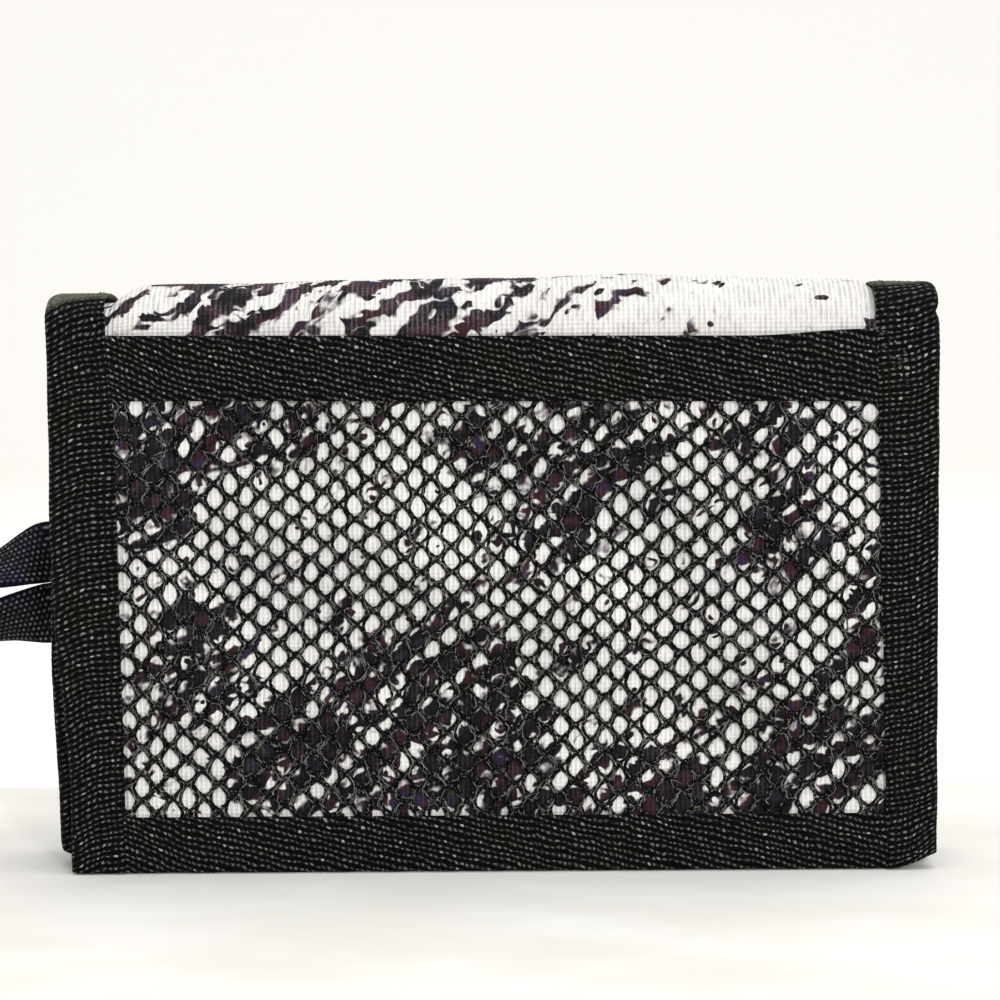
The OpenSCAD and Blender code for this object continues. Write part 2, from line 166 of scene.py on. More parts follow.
def mesh_object(name, points, quads, uv):
    """A mesh object from points in mm, quads, and one UV in mm for each point."""
    points = np.asarray(points, float).reshape(-1, 3) * MM
    quads = np.asarray(quads, np.int32).reshape(-1, 4)
    mesh = bpy.data.meshes.new(name)
    mesh.vertices.add(len(points))
    mesh.vertices.foreach_set("co", points.astype(np.float32).ravel())
    mesh.loops.add(quads.size)
    mesh.loops.foreach_set("vertex_index", quads.ravel())
    mesh.polygons.add(len(quads))
    mesh.polygons.foreach_set("loop_start", np.arange(0, quads.size, 4, dtype=np.int32))
    mesh.polygons.foreach_set("use_smooth", np.ones(len(quads), bool))
    layer = mesh.uv_layers.new(name="UVMap")
    layer.data.foreach_set("uv", np.asarray(uv, np.float32).reshape(-1, 2)[quads.ravel()].ravel())
    mesh.update()
    mesh.validate()
    return link(bpy.data.objects.new(name, mesh))


def link(obj):
    bpy.context.scene.collection.objects.link(obj)
    return obj


def grid_quads(rows, columns):
    first = (np.arange(rows - 1)[:, None] * columns + np.arange(columns - 1)[None, :]).ravel()
    return np.column_stack([first, first + columns, first + columns + 1, first + 1])


def cloth(name, grid, uv, thickness, relief=None, soft_edge=0.3, both=False):
    """A closed cloth round a grid of mid-surface points. Its face is the side that rows x columns
    turn to. relief gives the weave's height from the UVs, and the two long edges are rounded over
    soft_edge."""
    rows, columns = grid.shape[:2]
    normal = grid_normals(grid)
    step = np.linalg.norm(np.diff(grid, axis=1), axis=2)
    reach = np.concatenate([np.zeros((rows, 1)), np.cumsum(step, axis=1)], axis=1)
    edge = np.minimum(reach, reach[:, -1:] - reach)
    plump = 0.3 + 0.7 * np.sqrt(1 - (1 - np.clip(edge / soft_edge, 0, 1)) ** 2)
    half = (thickness / 2 * plump)[..., None]
    height = (relief(uv[..., 0], uv[..., 1]) * plump)[..., None] if relief else 0
    face = grid + normal * (half + height)
    lower = grid - normal * (half + (height if both else 0))
    count = rows * columns
    quads = grid_quads(rows, columns)
    index = np.arange(count).reshape(rows, columns)
    ring = np.concatenate([index[:, 0], index[-1, 1:], index[-2::-1, -1], index[0, -2::-1]])
    rim = np.column_stack([ring[1:], ring[:-1], ring[:-1] + count, ring[1:] + count])
    every = np.concatenate([quads, quads[:, ::-1] + count, rim])
    return mesh_object(name, np.stack([face, lower]), every, np.stack([uv, uv]))


def tubes(name, paths, radius, sides=4, closed=False):
    """Many tubes of the same number of rings in one mesh. Open ones have thin ends."""
    paths = np.asarray(paths, float)
    count, rings = paths.shape[:2]
    if closed:
        along = unit(np.roll(paths, -1, axis=1) - np.roll(paths, 1, axis=1))
    else:
        along = unit(np.gradient(paths, axis=1))
    flat = unit(np.cross(along, np.array([0.0, 1.0, 0.02])))
    rise = np.cross(flat, along)
    radius = np.broadcast_to(np.asarray(radius, float), (count, rings))
    if not closed:
        taper = np.ones(rings)
        taper[[0, -1]] = 0.35
        radius = radius * taper
    turn = np.arange(sides) * TURN / sides
    spoke = np.cos(turn)[:, None] * flat[:, :, None] + np.sin(turn)[:, None] * rise[:, :, None]
    points = paths[:, :, None] + radius[:, :, None, None] * spoke
    i, k = np.meshgrid(np.arange(rings if closed else rings - 1), np.arange(sides), indexing="ij")
    nxt, side = (i + 1) % rings, (k + 1) % sides
    one = stack(i * sides + k, i * sides + side, nxt * sides + side, nxt * sides + k).reshape(-1, 4)
    if not closed:
        last = (rings - 1) * sides
        one = np.vstack([one, [[3, 2, 1, 0], [last, last + 1, last + 2, last + 3]]])
    quads = one[None] + (np.arange(count) * rings * sides)[:, None, None]
    length = np.zeros((count, rings))
    length[:, 1:] = np.cumsum(np.linalg.norm(np.diff(paths, axis=1), axis=2), axis=1)
    return mesh_object(name, points, quads, stack(length[:, :, None], turn))


def resample(points, step):
    """Even steps along a polyline: the distance along it, and the points."""
    points = np.asarray(points, float)
    reach = np.r_[0, np.cumsum(np.linalg.norm(np.diff(points, axis=0), axis=1))]
    s = np.linspace(0, reach[-1], max(3, int(round(reach[-1] / step)) + 1))
    return s, columns_at(s, reach, points)


def columns_at(at, where, values):
    """Each column of the values, read between their places."""
    return np.column_stack([np.interp(at, where, column) for column in values.T])


def arc(centre, radii, start, end, count=33):
    turn = np.radians(np.linspace(start, end, count))
    return np.column_stack([centre[0] + radii[0] * np.cos(turn), centre[1] + radii[1] * np.sin(turn)])


def upper_path(layer, rise, foot, step, square=2.2):
    """Up the back from the seam, over the top fold and down the flap, as (s, (y, z)).
    The fold is half an ellipse, and squarer as its power rises above 2."""
    back, front = BACK[layer], FLAP[layer]
    turn = np.radians(np.linspace(0, 180, 81))
    cosine, sine = np.cos(turn), np.sin(turn)
    bend = np.column_stack([
        (back + front) / 2 + (back - front) / 2 * np.sign(cosine) * np.abs(cosine) ** (2 / square),
        TOP_Z + rise * np.abs(sine) ** (2 / square),
    ])
    return resample(np.vstack([[back, SEAM_Z], bend, [front, foot]]), step)


# How far along the canvas the flap's straight part begins
FLAP_FRONT_S = upper_path("canvas", CANVAS_RISE, 1.0, 1.5)[0][-1] - TOP_Z + 1.0


def lower_path(layer, foot, corner, head, step):
    """Down the inner panel, through the bottom fold and up the back to the seam."""
    front, back = INNER[layer], BACK[layer]
    corner = min(corner, (back - front) / 2)
    first = arc((front + corner, foot + corner), (corner, corner), 180, 270)
    second = arc((back - corner, foot + corner), (corner, corner), 270, 360)
    s, points = resample(np.vstack([[front, head], first, second, [back, SEAM_Z]]), step)
    return s - s[-1], points


def path_normals(points):
    along = unit(np.gradient(points, axis=0))
    return np.column_stack([along[:, 1], -along[:, 0]])


# ---------------------------------------------------------------- the outline


def is_flap(points):
    """True for the points of a path that lie on the flap."""
    return points[:, 0] < (FLAP["inside"] + INNER["tape"]) / 2


def along_height(points, flap_table, back_table):
    """X read from one table on the flap and from another elsewhere, by height."""
    z = points[:, 1]
    front, back = (sum(np.interp(z + d, *zip(*table)) for d in (-2, -1, 0, 1, 2)) / 5
                   for table in (flap_table, back_table))
    return np.where(is_flap(points), front, back)


def left_edge(points):
    """The bottom fold is narrower than the panels above it."""
    tuck = 4.2 * smooth((2.6 - points[:, 1]) / 1.6)
    return along_height(points, FLAP_LEFT, BACK_LEFT) + tuck * ~is_flap(points)


def right_edge(points):
    """The right tapes are nipped in just below the fold."""
    return HALF_W - 1.15 - 0.45 * np.exp(-((points[:, 1] - TOP_Z - 2.9) / 0.9) ** 2)


def left_inner(points):
    return along_height(points, FLAP_LEFT_INNER, BACK_LEFT_INNER)


def right_inner(points):
    return along_height(points, FLAP_RIGHT_INNER, BACK_RIGHT_INNER)


def fold_height(x):
    """How high the top fold stands across the width, as a share of its full height."""
    left = 0.66 + 0.34 * (1 - (1 - np.clip((x + INSIDE_X + 0.3) / 5.9, 0, 1)) ** 2.2)
    crown = sum(np.interp(x + d, *zip(*FOLD_CROWN)) for d in (-3, 0, 3)) / 3
    return left * (crown - 0.2 * smooth((x - 51.6) / 3.4))


def lower_fold(grid, share):
    """Lowers what stands above the panels' heads to a share of its height."""
    above = np.maximum(grid[..., 2] - TOP_Z, 0)
    grid[..., 2] -= above * (1 - share)
    return grid


def cut_corner(grid):
    """Lifts the flap's lower right corner, whose tape is cut at a slant."""
    x, z = grid[..., 0], grid[..., 2]
    lift = 2.6 * smooth((x - HALF_W + 7.5) / 8.5) * (1 - np.clip(z / 12, 0, 1))
    front = smooth((INNER["tape"] - 0.1 - grid[..., 1]) / 0.5)
    grid[..., 2] = z + lift * front
    return grid


# ---------------------------------------------------------------- materials


class Value:
    """A node's output, which can be used in sums with numbers and other values."""

    def __init__(self, tree, socket):
        self.tree, self.socket = tree, socket

    def __add__(self, other):
        return self.tree.math("ADD", self, other)

    def __sub__(self, other):
        return self.tree.math("SUBTRACT", self, other)

    def __rsub__(self, other):
        return self.tree.math("SUBTRACT", other, self)

    def __mul__(self, other):
        return self.tree.math("MULTIPLY", self, other)

    def __truediv__(self, other):
        return self.tree.math("DIVIDE", self, other)


class Tree:
    """One material's nodes, with short calls for the ones used here."""

    def __init__(self, name):
        self.material = bpy.data.materials.new(name)
        self.material.use_nodes = True
        self.nodes = self.material.node_tree.nodes
        self.shader = self.nodes["Principled BSDF"]

    def feed(self, socket, value):
        if isinstance(value, Value):
            self.material.node_tree.links.new(value.socket, socket)
        else:
            socket.default_value = value

    def node(self, kind, inputs, output=0, **settings):
        """A new node's output. Its inputs are given by their names or numbers."""
        node = self.nodes.new("ShaderNode" + kind)
        for name, setting in settings.items():
            setattr(node, name, setting)
        for key, value in inputs.items():
            self.feed(node.inputs[key], value)
        return Value(self, node.outputs[output])

    def math(self, operation, *values):
        return self.node("Math", dict(enumerate(values)), operation=operation)

    def uv(self):
        return self.node("UVMap", {}, uv_map="UVMap")

    def place(self):
        """Millimetres in the piece's own frame."""
        return self.scale(self.node("TexCoord", {}, "Object"), (1 / MM,) * 3)

    def split(self, vector):
        first = self.node("SeparateXYZ", {0: vector})
        return [Value(self, socket) for socket in first.socket.node.outputs]

    def scale(self, vector, factors, turn=0.0):
        """The vector turned about Z, then scaled."""
        if turn:
            vector = self.node("VectorRotate", {"Vector": vector, "Angle": turn}, rotation_type="Z_AXIS")
        return self.node("Mapping", {"Vector": vector, "Scale": factors}, vector_type="POINT")

    def noise(self, vector, scale, detail=3.0, rough=0.55, output="Fac"):
        return self.node("TexNoise", {"Vector": vector, "Scale": scale, "Detail": detail,
                                      "Roughness": rough}, output)

    def wander(self, vector, scale, detail, reach):
        """The vector pushed about by a noise, up to a reach along each axis."""
        shove = self.noise(vector, scale, detail, 0.5, "Color")
        shove = self.mix(1.0, shove, (0.5, 0.5, 0.5), "SUBTRACT")
        return self.mix(1.0, vector, self.mix(1.0, shove, reach, "MULTIPLY"), "ADD")

    def luck(self, u, v):
        """A random number for each whole-numbered cell."""
        cell = self.node("CombineXYZ", {0: self.math("FLOOR", u), 1: self.math("FLOOR", v)})
        return self.node("TexWhiteNoise", {"Vector": cell}, "Value", noise_dimensions="2D")

    def wave(self, value, pitch, kind="COSINE"):
        return self.math(kind, value * (TURN / pitch))

    def step(self, value, low, high, to_low=0.0, to_high=1.0):
        """Value from low to high mapped smoothly to two ends."""
        inputs = dict(enumerate((value, low, high, to_low, to_high)))
        return self.node("MapRange", inputs, interpolation_type="SMOOTHSTEP")

    def mix(self, factor, a, b, blend="MIX"):
        a, b = ((*colour, 1.0) if isinstance(colour, tuple) else colour for colour in (a, b))
        return self.node("Mix", {0: factor, 6: a, 7: b}, 2, data_type="RGBA", blend_type=blend)

    def bump(self, height, distance):
        relief = self.node("Bump", {"Distance": distance * MM, "Height": height})
        self.feed(self.shader.inputs["Normal"], relief)

    def finish(self, colour, roughness, **fixed):
        self.feed(self.shader.inputs["Base Color"], colour)
        self.feed(self.shader.inputs["Roughness"], roughness)
        for name, value in fixed.items():
            self.feed(self.shader.inputs[name.replace("_", " ")], value)
        return self.material


TAPE_PITCH = 0.80
TAPE_ROW = 0.90
# Added to V on the tapes whose fibres are raised where they turn over the top fold, and how far along them that
# begins and ends. There the tape's shader paints an olive-grey highlight.
CREST = 900.0
CREST_BEGINS = (CREST + 43.0, CREST + 47.0)
CREST_ENDS = (CREST + 58.2, CREST + 56.0)
LUCK = np.random.default_rng(5).random((97, 97))


def weave(u, v):
    """Height of the tape's floats, from about 0 to 1. They lie end to end along rows."""
    row = np.clip(0.5 + 0.62 * np.cos(TURN * v / TAPE_ROW), 0, 1)
    pick = tuple(np.floor(way / pitch + 0.5).astype(int) % len(LUCK)
                 for way, pitch in ((u, TAPE_PITCH), (v, TAPE_ROW)))
    return row * (0.55 + 0.45 * np.cos(TURN * u / TAPE_PITCH)) * (0.55 + 0.6 * LUCK[pick])


def tape_relief(u, v, share=1.0):
    return share * (0.085 * weave(u, v) + 0.06 * waves(u, v, 9, 3))


def low_tape(share):
    """The relief of a flatter tape."""
    return lambda u, v: tape_relief(u, v, share)


def uneven(uv, seed):
    """The yarns of a tape wander a little from true."""
    u, v = uv[..., 0], uv[..., 1]
    return stack(u + 0.16 * waves(u, v, 5, seed) + 0.3 * waves(u, v, 17, seed + 1),
                 v + 0.10 * waves(u, v, 4, seed + 2) + 0.22 * waves(u, v, 13, seed + 3))


def soft_rise(value):
    """0 below zero and the value above it, with a soft bend between."""
    return (value + np.sqrt(value * value + 2.5)) / 2


def level_rows(along, across):
    """UVs of a level tape: rows that fall to the right, and more steeply at the tape's left end."""
    slant = 0.24 * along - 0.22 * soft_rise(9 - INSIDE_X - along)
    return uneven(stack(along + 0.15 * across, across + slant), 51)


def upright_rows(along, across, seed=61):
    """UVs of an upright tape: level rows, which rise to the right along its outer half."""
    slant = 0.08 * across + 0.5 * np.sign(across) * soft_rise(np.abs(across) - 5.0)
    return uneven(stack(across * 0.86, along * 1.04 + slant), seed)


def tape_material():
    """Black polyester tape: rows of short floats with painted grey glints, and painted shade in the gaps between.
    """
    t = Tree("binding_tape")
    uv = t.uv()
    u, v, _ = t.split(t.wander(uv, 0.9, 2, (0.9, 0.75, 0.0)))
    float_way, row_way = t.wave(u, TAPE_PITCH), t.wave(v, TAPE_ROW)
    luck = t.luck(u * (1 / TAPE_PITCH) + 0.5, v * (1 / TAPE_ROW) + 0.5)
    row = t.step(row_way, -0.1, 0.9)
    dash = t.step(row_way, 0.1, 0.9) * t.step(float_way, -0.25, 0.65)
    patch = t.noise(uv, 0.8, 4, 0.7)
    # Painted highlights: grey glints on the floats, and a few brighter painted sparkles
    lit = dash * (t.step(luck, 0.0, 1.0, 0.35, 1.0) * t.step(patch, 0.33, 0.68, 0.3, 1.0))
    painted_sparkle = dash * t.step(luck, 0.94, 1.0)
    tint = t.step(t.noise(uv, 0.09, 3), 0.38, 0.62)
    # Painted light and shade on one black yarn: the rows' tops a little lighter, the gaps between them near black
    ground = t.mix(tint, (0.0012, 0.0010, 0.0016), (0.0014, 0.0016, 0.0010))
    band = t.mix(tint, (0.0130, 0.0128, 0.0142), (0.0138, 0.0146, 0.0122))
    colour = t.mix(row * t.step(patch, 0.3, 0.65, 0.35, 1.0), ground, band)
    colour = t.mix(lit, colour, (0.212, 0.210, 0.208))
    colour = t.mix(painted_sparkle * 0.8, colour, (0.42, 0.42, 0.42))
    fibre = t.noise(t.scale(uv, (3.0, 12.0, 1.0)), 1.0, 3, 0.6)
    colour = t.mix(t.step(fibre, 0.55, 0.72, 0.0, 0.25), colour, (0.050, 0.050, 0.048))
    # Fibres stand up where the tape turns over the top fold; a painted olive-grey highlight and paler painted
    # glints stand for the light that they catch
    crest = t.step(v, *CREST_BEGINS) * t.step(v, *CREST_ENDS)
    colour = t.mix(crest * t.step(fibre, 0.3, 0.7, 0.25, 0.9), colour, (0.118, 0.122, 0.088))
    crest_glints = crest * t.step(t.noise(uv, 3.2, 3, 0.6), 0.52, 0.66, 0.0, 0.7)
    colour = t.mix(crest_glints, colour, (0.27, 0.27, 0.22))
    t.bump(fibre * 0.35 + (row * 0.45 + lit * 0.5), 0.13)
    return t.finish(colour, t.step(lit, 0.0, 1.0, 0.9, 0.55), Sheen_Weight=0.02, Sheen_Roughness=0.5,
                    Sheen_Tint=(0.62, 0.66, 0.48, 1.0), Specular_IOR_Level=0.05)


WEB_RIB = 0.86
WEB_PITCH = 0.80


def webbing_material():
    """The lanyard loop's flat webbing: lengthwise ribs of bright dots that are painted highlights on the floats,
    with a navy tint in places.
    """
    t = Tree("webbing")
    along, across, _ = t.split(t.uv())
    lane = t.math("FLOOR", across / WEB_RIB)
    dash = t.wave(lane * (0.5 * WEB_PITCH) + along, WEB_PITCH)
    woven = t.wave(across, WEB_RIB) * -0.5 + dash * 0.5
    # Painted highlights on the ribs' floats
    glint_dots = t.step(woven, 0.15, 0.8) * t.step(t.noise(t.uv(), 1.2, 4), 0.35, 0.7, 0.15, 1.0)
    navy = t.step(t.noise(t.uv(), 0.12, 2), 0.45, 0.62)
    base = t.mix(navy, (0.0022, 0.0020, 0.0026), (0.0035, 0.0032, 0.0160))
    colour = t.mix(glint_dots, base, (0.20, 0.195, 0.21))
    t.bump(woven, 0.16)
    return t.finish(colour, t.step(glint_dots, 0.0, 1.0, 0.8, 0.45), Sheen_Weight=0.04,
                    Sheen_Roughness=0.45, Specular_IOR_Level=0.08)


RIB_PITCH = 0.72


def rib_relief(x, _s):
    return 0.04 * (1 + np.cos(TURN * x / RIB_PITCH))


def canvas_relief(x, s):
    return rib_relief(x, s) + 0.18 * waves(x, s, 26, 5)


def slack(depth, scale, seed):
    """The relief of a smooth cloth that lies a little loose."""
    return lambda u, v: depth * waves(u, v, scale, seed)


# Broad dark masses of the print behind the net: centre and half size in X and in height on the flap
DARK_MASSES = (((-38, 64), (19, 6)), ((-50, 55), (7, 9)), ((7, 62), (17, 8)), ((8, 51), (9, 7)),
               ((41, 50), (6, 8)), ((-44, 31), (8, 9)), ((-11, 23), (18, 12)), ((10, 12), (46, 7)),
               ((48, 19), (10, 10)), ((-30, 17), (9, 10)), ((54, 37), (4, 10)), ((36, 64), (8, 5)))


def print_density(t, uv, x, height):
    """How dense the print is: the masses, the left of the fold, clouds on the back, and a little
    anywhere."""
    behind = t.step(height, 98.0, 116.0)
    dense = (t.step(x, 24.0, -16.0, 0.0, 1.05) * t.step(x, -56.0, -38.0, 0.45, 1.0)
             * t.step(height, 72.0, 78.0) * (1.0 - behind))
    for centre, half in DARK_MASSES:
        across, up = (x - centre[0]) / half[0], (height - centre[1]) / half[1]
        far = across * across + up * up
        dense = t.math("MAXIMUM", dense, t.step(far, 1.6, 0.4, 0.0, 1.25))
    cloud = t.noise(t.scale(uv, (0.05, 0.07, 1.0), 0.5), 1.0, 2)
    dense = t.math("MAXIMUM", dense, behind * t.step(cloud, 0.47, 0.57))
    bare = t.step(x, 22.0, 40.0, 0.0, 0.5) * t.step(height, 70.0, 76.0)
    return dense - bare * (1.0 - behind) + t.step(cloud, 0.35, 0.75, -0.25, 0.35)


def canvas_material():
    """Off-white ribbed canvas, printed with dark brush strokes that rise to the right, and drops."""
    t = Tree("printed_canvas")
    uv = t.uv()
    x, s, _ = t.split(uv)
    height = (FLAP_FRONT_S + TOP_Z) - s
    loose = t.wander(uv, 0.26, 1.5, (3.4, 3.4, 3.4))
    ragged = t.noise(uv, 0.9, 3, 0.55)
    dense = print_density(t, uv, x, height)
    # Long strokes in loose parallel rows
    way = t.scale(loose, (1.0, 1.0, 1.0), math.radians(38))
    _, side, _ = t.split(way)
    _, steep, _ = t.split(t.scale(loose, (1.0, 1.0, 1.0), math.radians(62)))
    bend = t.noise(t.scale(way, (0.13, 0.09, 1.0)), 1.0, 2) * 13.0
    rows = (t.math("SINE", steep * (TURN / 8.3) + bend) * 0.45
            + t.math("SINE", side * (TURN / 5.0) + bend))
    breaks = t.noise(t.scale(way, (0.13, 0.30, 1.0)), 1.0, 2.2, 0.5)
    stroke = rows * 0.17 + breaks * 1.25 + ragged * 0.12 + dense * 0.27
    ink = t.step(stroke, 0.85, 0.98)
    # Drops and short dashes: spots in some of the cells, each of its own size
    far = t.node("TexVoronoi", {"Vector": t.scale(loose, (0.20, 0.38, 1.0), math.radians(36)),
                                "Scale": 1.0}, "Distance")
    chance, size, _ = t.split(Value(t, far.socket.node.outputs["Color"]))
    reach = t.step(chance, 0.52, 0.80) * (size * 0.13 + 0.16) + (ragged - 0.5) * 0.18
    ink = t.math("MAXIMUM", ink, t.step(reach - far, 0.0, 0.06))
    # Inks: near black, brown maroon, slate and purple, thinner where the ribs stand up
    hue = t.noise(t.scale(uv, (0.15, 0.2, 1.0), 0.6), 1.0, 3, 0.6)
    dark = (0.008, 0.008, 0.009)
    for low, high, tone in ((0.50, 0.57, (0.042, 0.015, 0.020)), (0.60, 0.66, (0.030, 0.020, 0.055)),
                            (0.42, 0.36, (0.018, 0.017, 0.030)), (0.33, 0.29, (0.060, 0.045, 0.018))):
        dark = t.mix(t.step(hue, low, high), dark, tone)
    grain = t.noise(uv, 3.0, 4, 0.7)
    thin = t.noise(t.scale(uv, (0.35, 0.22, 1.0), -0.5), 1.0, 3, 0.6)
    rib = t.wave(x, RIB_PITCH)
    crest = t.step(rib, -0.2, 1.0)
    worn = (crest * 0.35 + t.step(grain, 0.4, 0.8, 0.0, 0.55)) * t.step(height, 68.0, 74.0, 0.3, 1.0)
    dark = t.mix(worn * t.step(thin, 0.43, 0.62, 0.08, 0.95), dark, (0.21, 0.165, 0.20))
    pale = t.step(stroke, 0.79, 0.93) * t.step(thin, 0.45, 0.60)
    # The cloth's own colour, with painted light behind the net to make up for the shade that the net casts there
    ground = t.mix(t.step(t.noise(uv, 0.10, 3), 0.3, 0.7), (0.80, 0.79, 0.775), (0.72, 0.705, 0.71))
    ground = t.mix(t.step(height, 74.0, 68.0, 0.0, 0.75), ground, (0.93, 0.92, 0.905))
    ground = t.mix(pale * 0.75, ground, (0.45, 0.38, 0.43))
    colour = t.mix(ink, ground, dark)
    # Painted shade in the grooves between the ribs, broken up along them
    broken = t.step(t.noise(t.scale(uv, (1.8, 0.5, 1.0)), 1.0, 3), 0.35, 0.65, 0.25, 1.0)
    groove_shade = t.mix(1.0, colour, (0.50, 0.51, 0.48), "MULTIPLY")
    colour = t.mix((1.0 - crest) * broken * 0.62, colour, groove_shade)
    t.bump(grain * 0.4 + (rib * 0.5 + t.wave(s, 0.62) * 0.25), 0.12)
    return t.finish(colour, t.step(grain, 0.2, 0.8, 0.72, 0.85), Sheen_Weight=0.02,
                    Sheen_Roughness=0.5, Specular_IOR_Level=0.1)


def yarn_material(name, base, glint, share):
    """Twisted yarn with short glints along its filaments, painted into its colour as highlights."""
    t = Tree(name)
    place = t.place()
    fine = t.noise(place, 2.6, 4, 0.7)
    strand = t.noise(t.scale(place, (5.0, 5.0, 2.0), 0.6), 1.0, 3, 0.6)
    lit = t.step(fine, 0.5, 0.68) * t.step(strand, 0.42, 0.62)
    body = t.mix(t.step(t.noise(place, 0.12, 2), 0.4, 0.6), base, tuple(0.85 * c for c in base))
    # The glints are painted highlights
    colour = t.mix(lit * share, body, glint)
    t.bump(fine + strand, 0.1)
    return t.finish(colour, t.step(lit, 0.0, 1.0, 0.75, 0.5), Sheen_Weight=0.01, Specular_IOR_Level=0.04)


def lining_material():
    """Dark grey plain-woven nylon with a soft sheen."""
    t = Tree("lining")
    uv = t.uv()
    u, v, _ = t.split(uv)
    woven = t.wave(u, 0.34, "SINE") * t.wave(v, 0.34, "SINE")
    cloudy = t.noise(uv, 0.08, 3)
    colour = t.mix(t.step(cloudy, 0.3, 0.7), (0.017, 0.017, 0.020), (0.024, 0.024, 0.028))
    colour = t.mix(t.step(woven, 0.2, 1.0, 0.0, 0.5), colour, (0.05, 0.05, 0.055))
    fibre = t.noise(t.scale(uv, (3.0, 9.0, 1.0)), 1.0, 2)
    t.bump(woven * 0.8 + fibre * 0.4, 0.06)
    return t.finish(colour, t.step(cloudy, 0.3, 0.7, 0.42, 0.52), Sheen_Weight=0.2, Sheen_Roughness=0.35)


def metal_material():
    """Satin black paint, with paler scuffs."""
    t = Tree("zip_metal")
    place = t.place()
    wear = t.noise(place, 0.9, 5, 0.7)
    scratch = t.noise(t.scale(place, (0.6, 0.6, 7.0)), 1.2, 3)
    colour = t.mix(t.step(wear, 0.45, 0.7), (0.045, 0.045, 0.050), (0.060, 0.060, 0.064))
    colour = t.mix(t.step(scratch, 0.62, 0.74, 0.0, 0.5), colour, (0.16, 0.155, 0.15))
    both = scratch + wear
    t.bump(both, 0.03)
    return t.finish(colour, t.step(both, 0.7, 1.3, 0.30, 0.48), Coat_Weight=0.15)


def vinyl_material():
    """Clear flexible vinyl with a faint haze."""
    t = Tree("clear_vinyl")
    place = t.place()
    haze = t.noise(place, 0.15, 4)
    colour = t.mix(t.step(haze, 0.3, 0.7), (0.93, 0.95, 0.97), (0.86, 0.89, 0.92))
    t.bump(t.noise(place, 0.25, 2), 0.25)
    return t.finish(colour, t.step(haze, 0.3, 0.7, 0.06, 0.2), Transmission_Weight=0.92, IOR=1.53)


def zip_tape_material():
    """Black herringbone zip tape."""
    t = Tree("zip_tape")
    uv = t.uv()
    u, v, _ = t.split(uv)
    rows = t.wave(u + t.math("PINGPONG", v, 0.8), 0.42, "SINE")
    tone = t.noise(uv, 1.4, 3)
    lit = t.step(rows, 0.1, 0.9) * t.step(tone, 0.3, 0.7, 0.3, 1.0)
    colour = t.mix(lit, (0.010, 0.010, 0.011), (0.07, 0.07, 0.072))
    t.bump(rows, 0.05)
    return t.finish(colour, t.step(tone, 0.3, 0.7, 0.6, 0.75), Sheen_Weight=0.2)


def mottled_material(name, base, tip, noise, tone_range, rough, bump, stretch=None, **fixed):
    """Two colours mottled by one noise, which also gives the relief and the roughness."""
    t = Tree(name)
    place = t.place()
    tone = t.noise(t.scale(place, stretch) if stretch else place, *noise)
    t.bump(tone, bump)
    return t.finish(t.mix(t.step(tone, *tone_range), base, tip), t.step(tone, 0.3, 0.7, *rough), **fixed)


PILE = {"noise": (1.1, 4, 0.7), "tone_range": (0.4, 0.7), "rough": (0.35, 0.6), "bump": 0.1,
        "Sheen_Weight": 0.35, "Sheen_Roughness": 0.4}

MATERIALS = {
    "printed_canvas": canvas_material(),
    "binding_tape": tape_material(),
    "mesh": yarn_material("net_yarn", (0.0022, 0.0021, 0.0024), (0.40, 0.40, 0.385), 0.72),
    "thread": yarn_material("seam_thread", (0.006, 0.006, 0.0065), (0.07, 0.07, 0.07), 0.5),
    # The loose fibres are drawn pale grey: a painted highlight on the net's black yarn
    "fluff": yarn_material("loose_fibre", (0.18, 0.18, 0.177), (0.66, 0.66, 0.64), 0.8),
    "lining": lining_material(),
    "webbing": webbing_material(),
    "board": mottled_material("board", (0.55, 0.53, 0.48), (0.48, 0.46, 0.41), (1.0, 4), (0.3, 0.7),
                              (0.75, 0.9), 0.08, stretch=(0.4, 2.0, 2.4)),
    "hook_tape": mottled_material("hook_tape", (0.010, 0.010, 0.011), (0.05, 0.05, 0.052), **PILE),
    "loop_tape": mottled_material("loop_tape", (0.014, 0.014, 0.015), (0.075, 0.075, 0.078), **PILE),
    "clear_vinyl": vinyl_material(),
    "zip_tape": zip_tape_material(),
    "zip_teeth": mottled_material("zip_teeth", (0.012, 0.012, 0.013), (0.03, 0.03, 0.032), (1.5, 3),
                                  (0.35, 0.7), (0.28, 0.4), 0.02, Specular_IOR_Level=0.6),
    "zip_metal": metal_material(),
}
FRAME_SLOTS = [entry["slot"] for entry in frame["record"]["materials"]]

# The zones in which cloth turns about each fold, for what runs outside it and inside it
TOP_OUTER = ("back", "flap", (0, 4.7, TOP_Z), (0, -8.8, TOP_Z))
TOP_INNER = ("back", "flap", (0, -3.1, TOP_Z), (0, -7.05, TOP_Z))
LOW_OUTER = ("back", "inner", (0, 4.9, FOOT_Z), (0, -4.8, FOOT_Z))
LOW_LINING = ("back", "inner", (0, -1.3, FOOT_Z), (0, -4.35, FOOT_Z))
LOW_INNER = ("back", "inner", (0, -3.05, FOOT_Z), (0, -3.15, FOOT_Z))
LOOP_ROOT = ("back", "lanyard_loop", (-HALF_W - 1.3, 2.6, SEAM_Z), (-HALF_W - 4.5, 2.6, SEAM_Z))


def dress(obj, look, body=None, zone=None, slot=None, stands_for=()):
    """Gives a piece its material, its body if one is given, and with a zone its transform baked into its mesh; it
    hides the CAD nodes that the piece stands for.
    """
    obj.data.materials.clear()
    obj.data.materials.append(MATERIALS[look])
    if body:
        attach(obj, body)
    if zone:
        first, second, start, end = zone
        tuple(np.array(start) * MM)
        tuple(np.array(end) * MM)
        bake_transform(obj)
    if slot or look in FRAME_SLOTS:
        slot or look
    if stands_for:
        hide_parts(*stands_for)


# ---------------------------------------------------------------- camera, light and floor


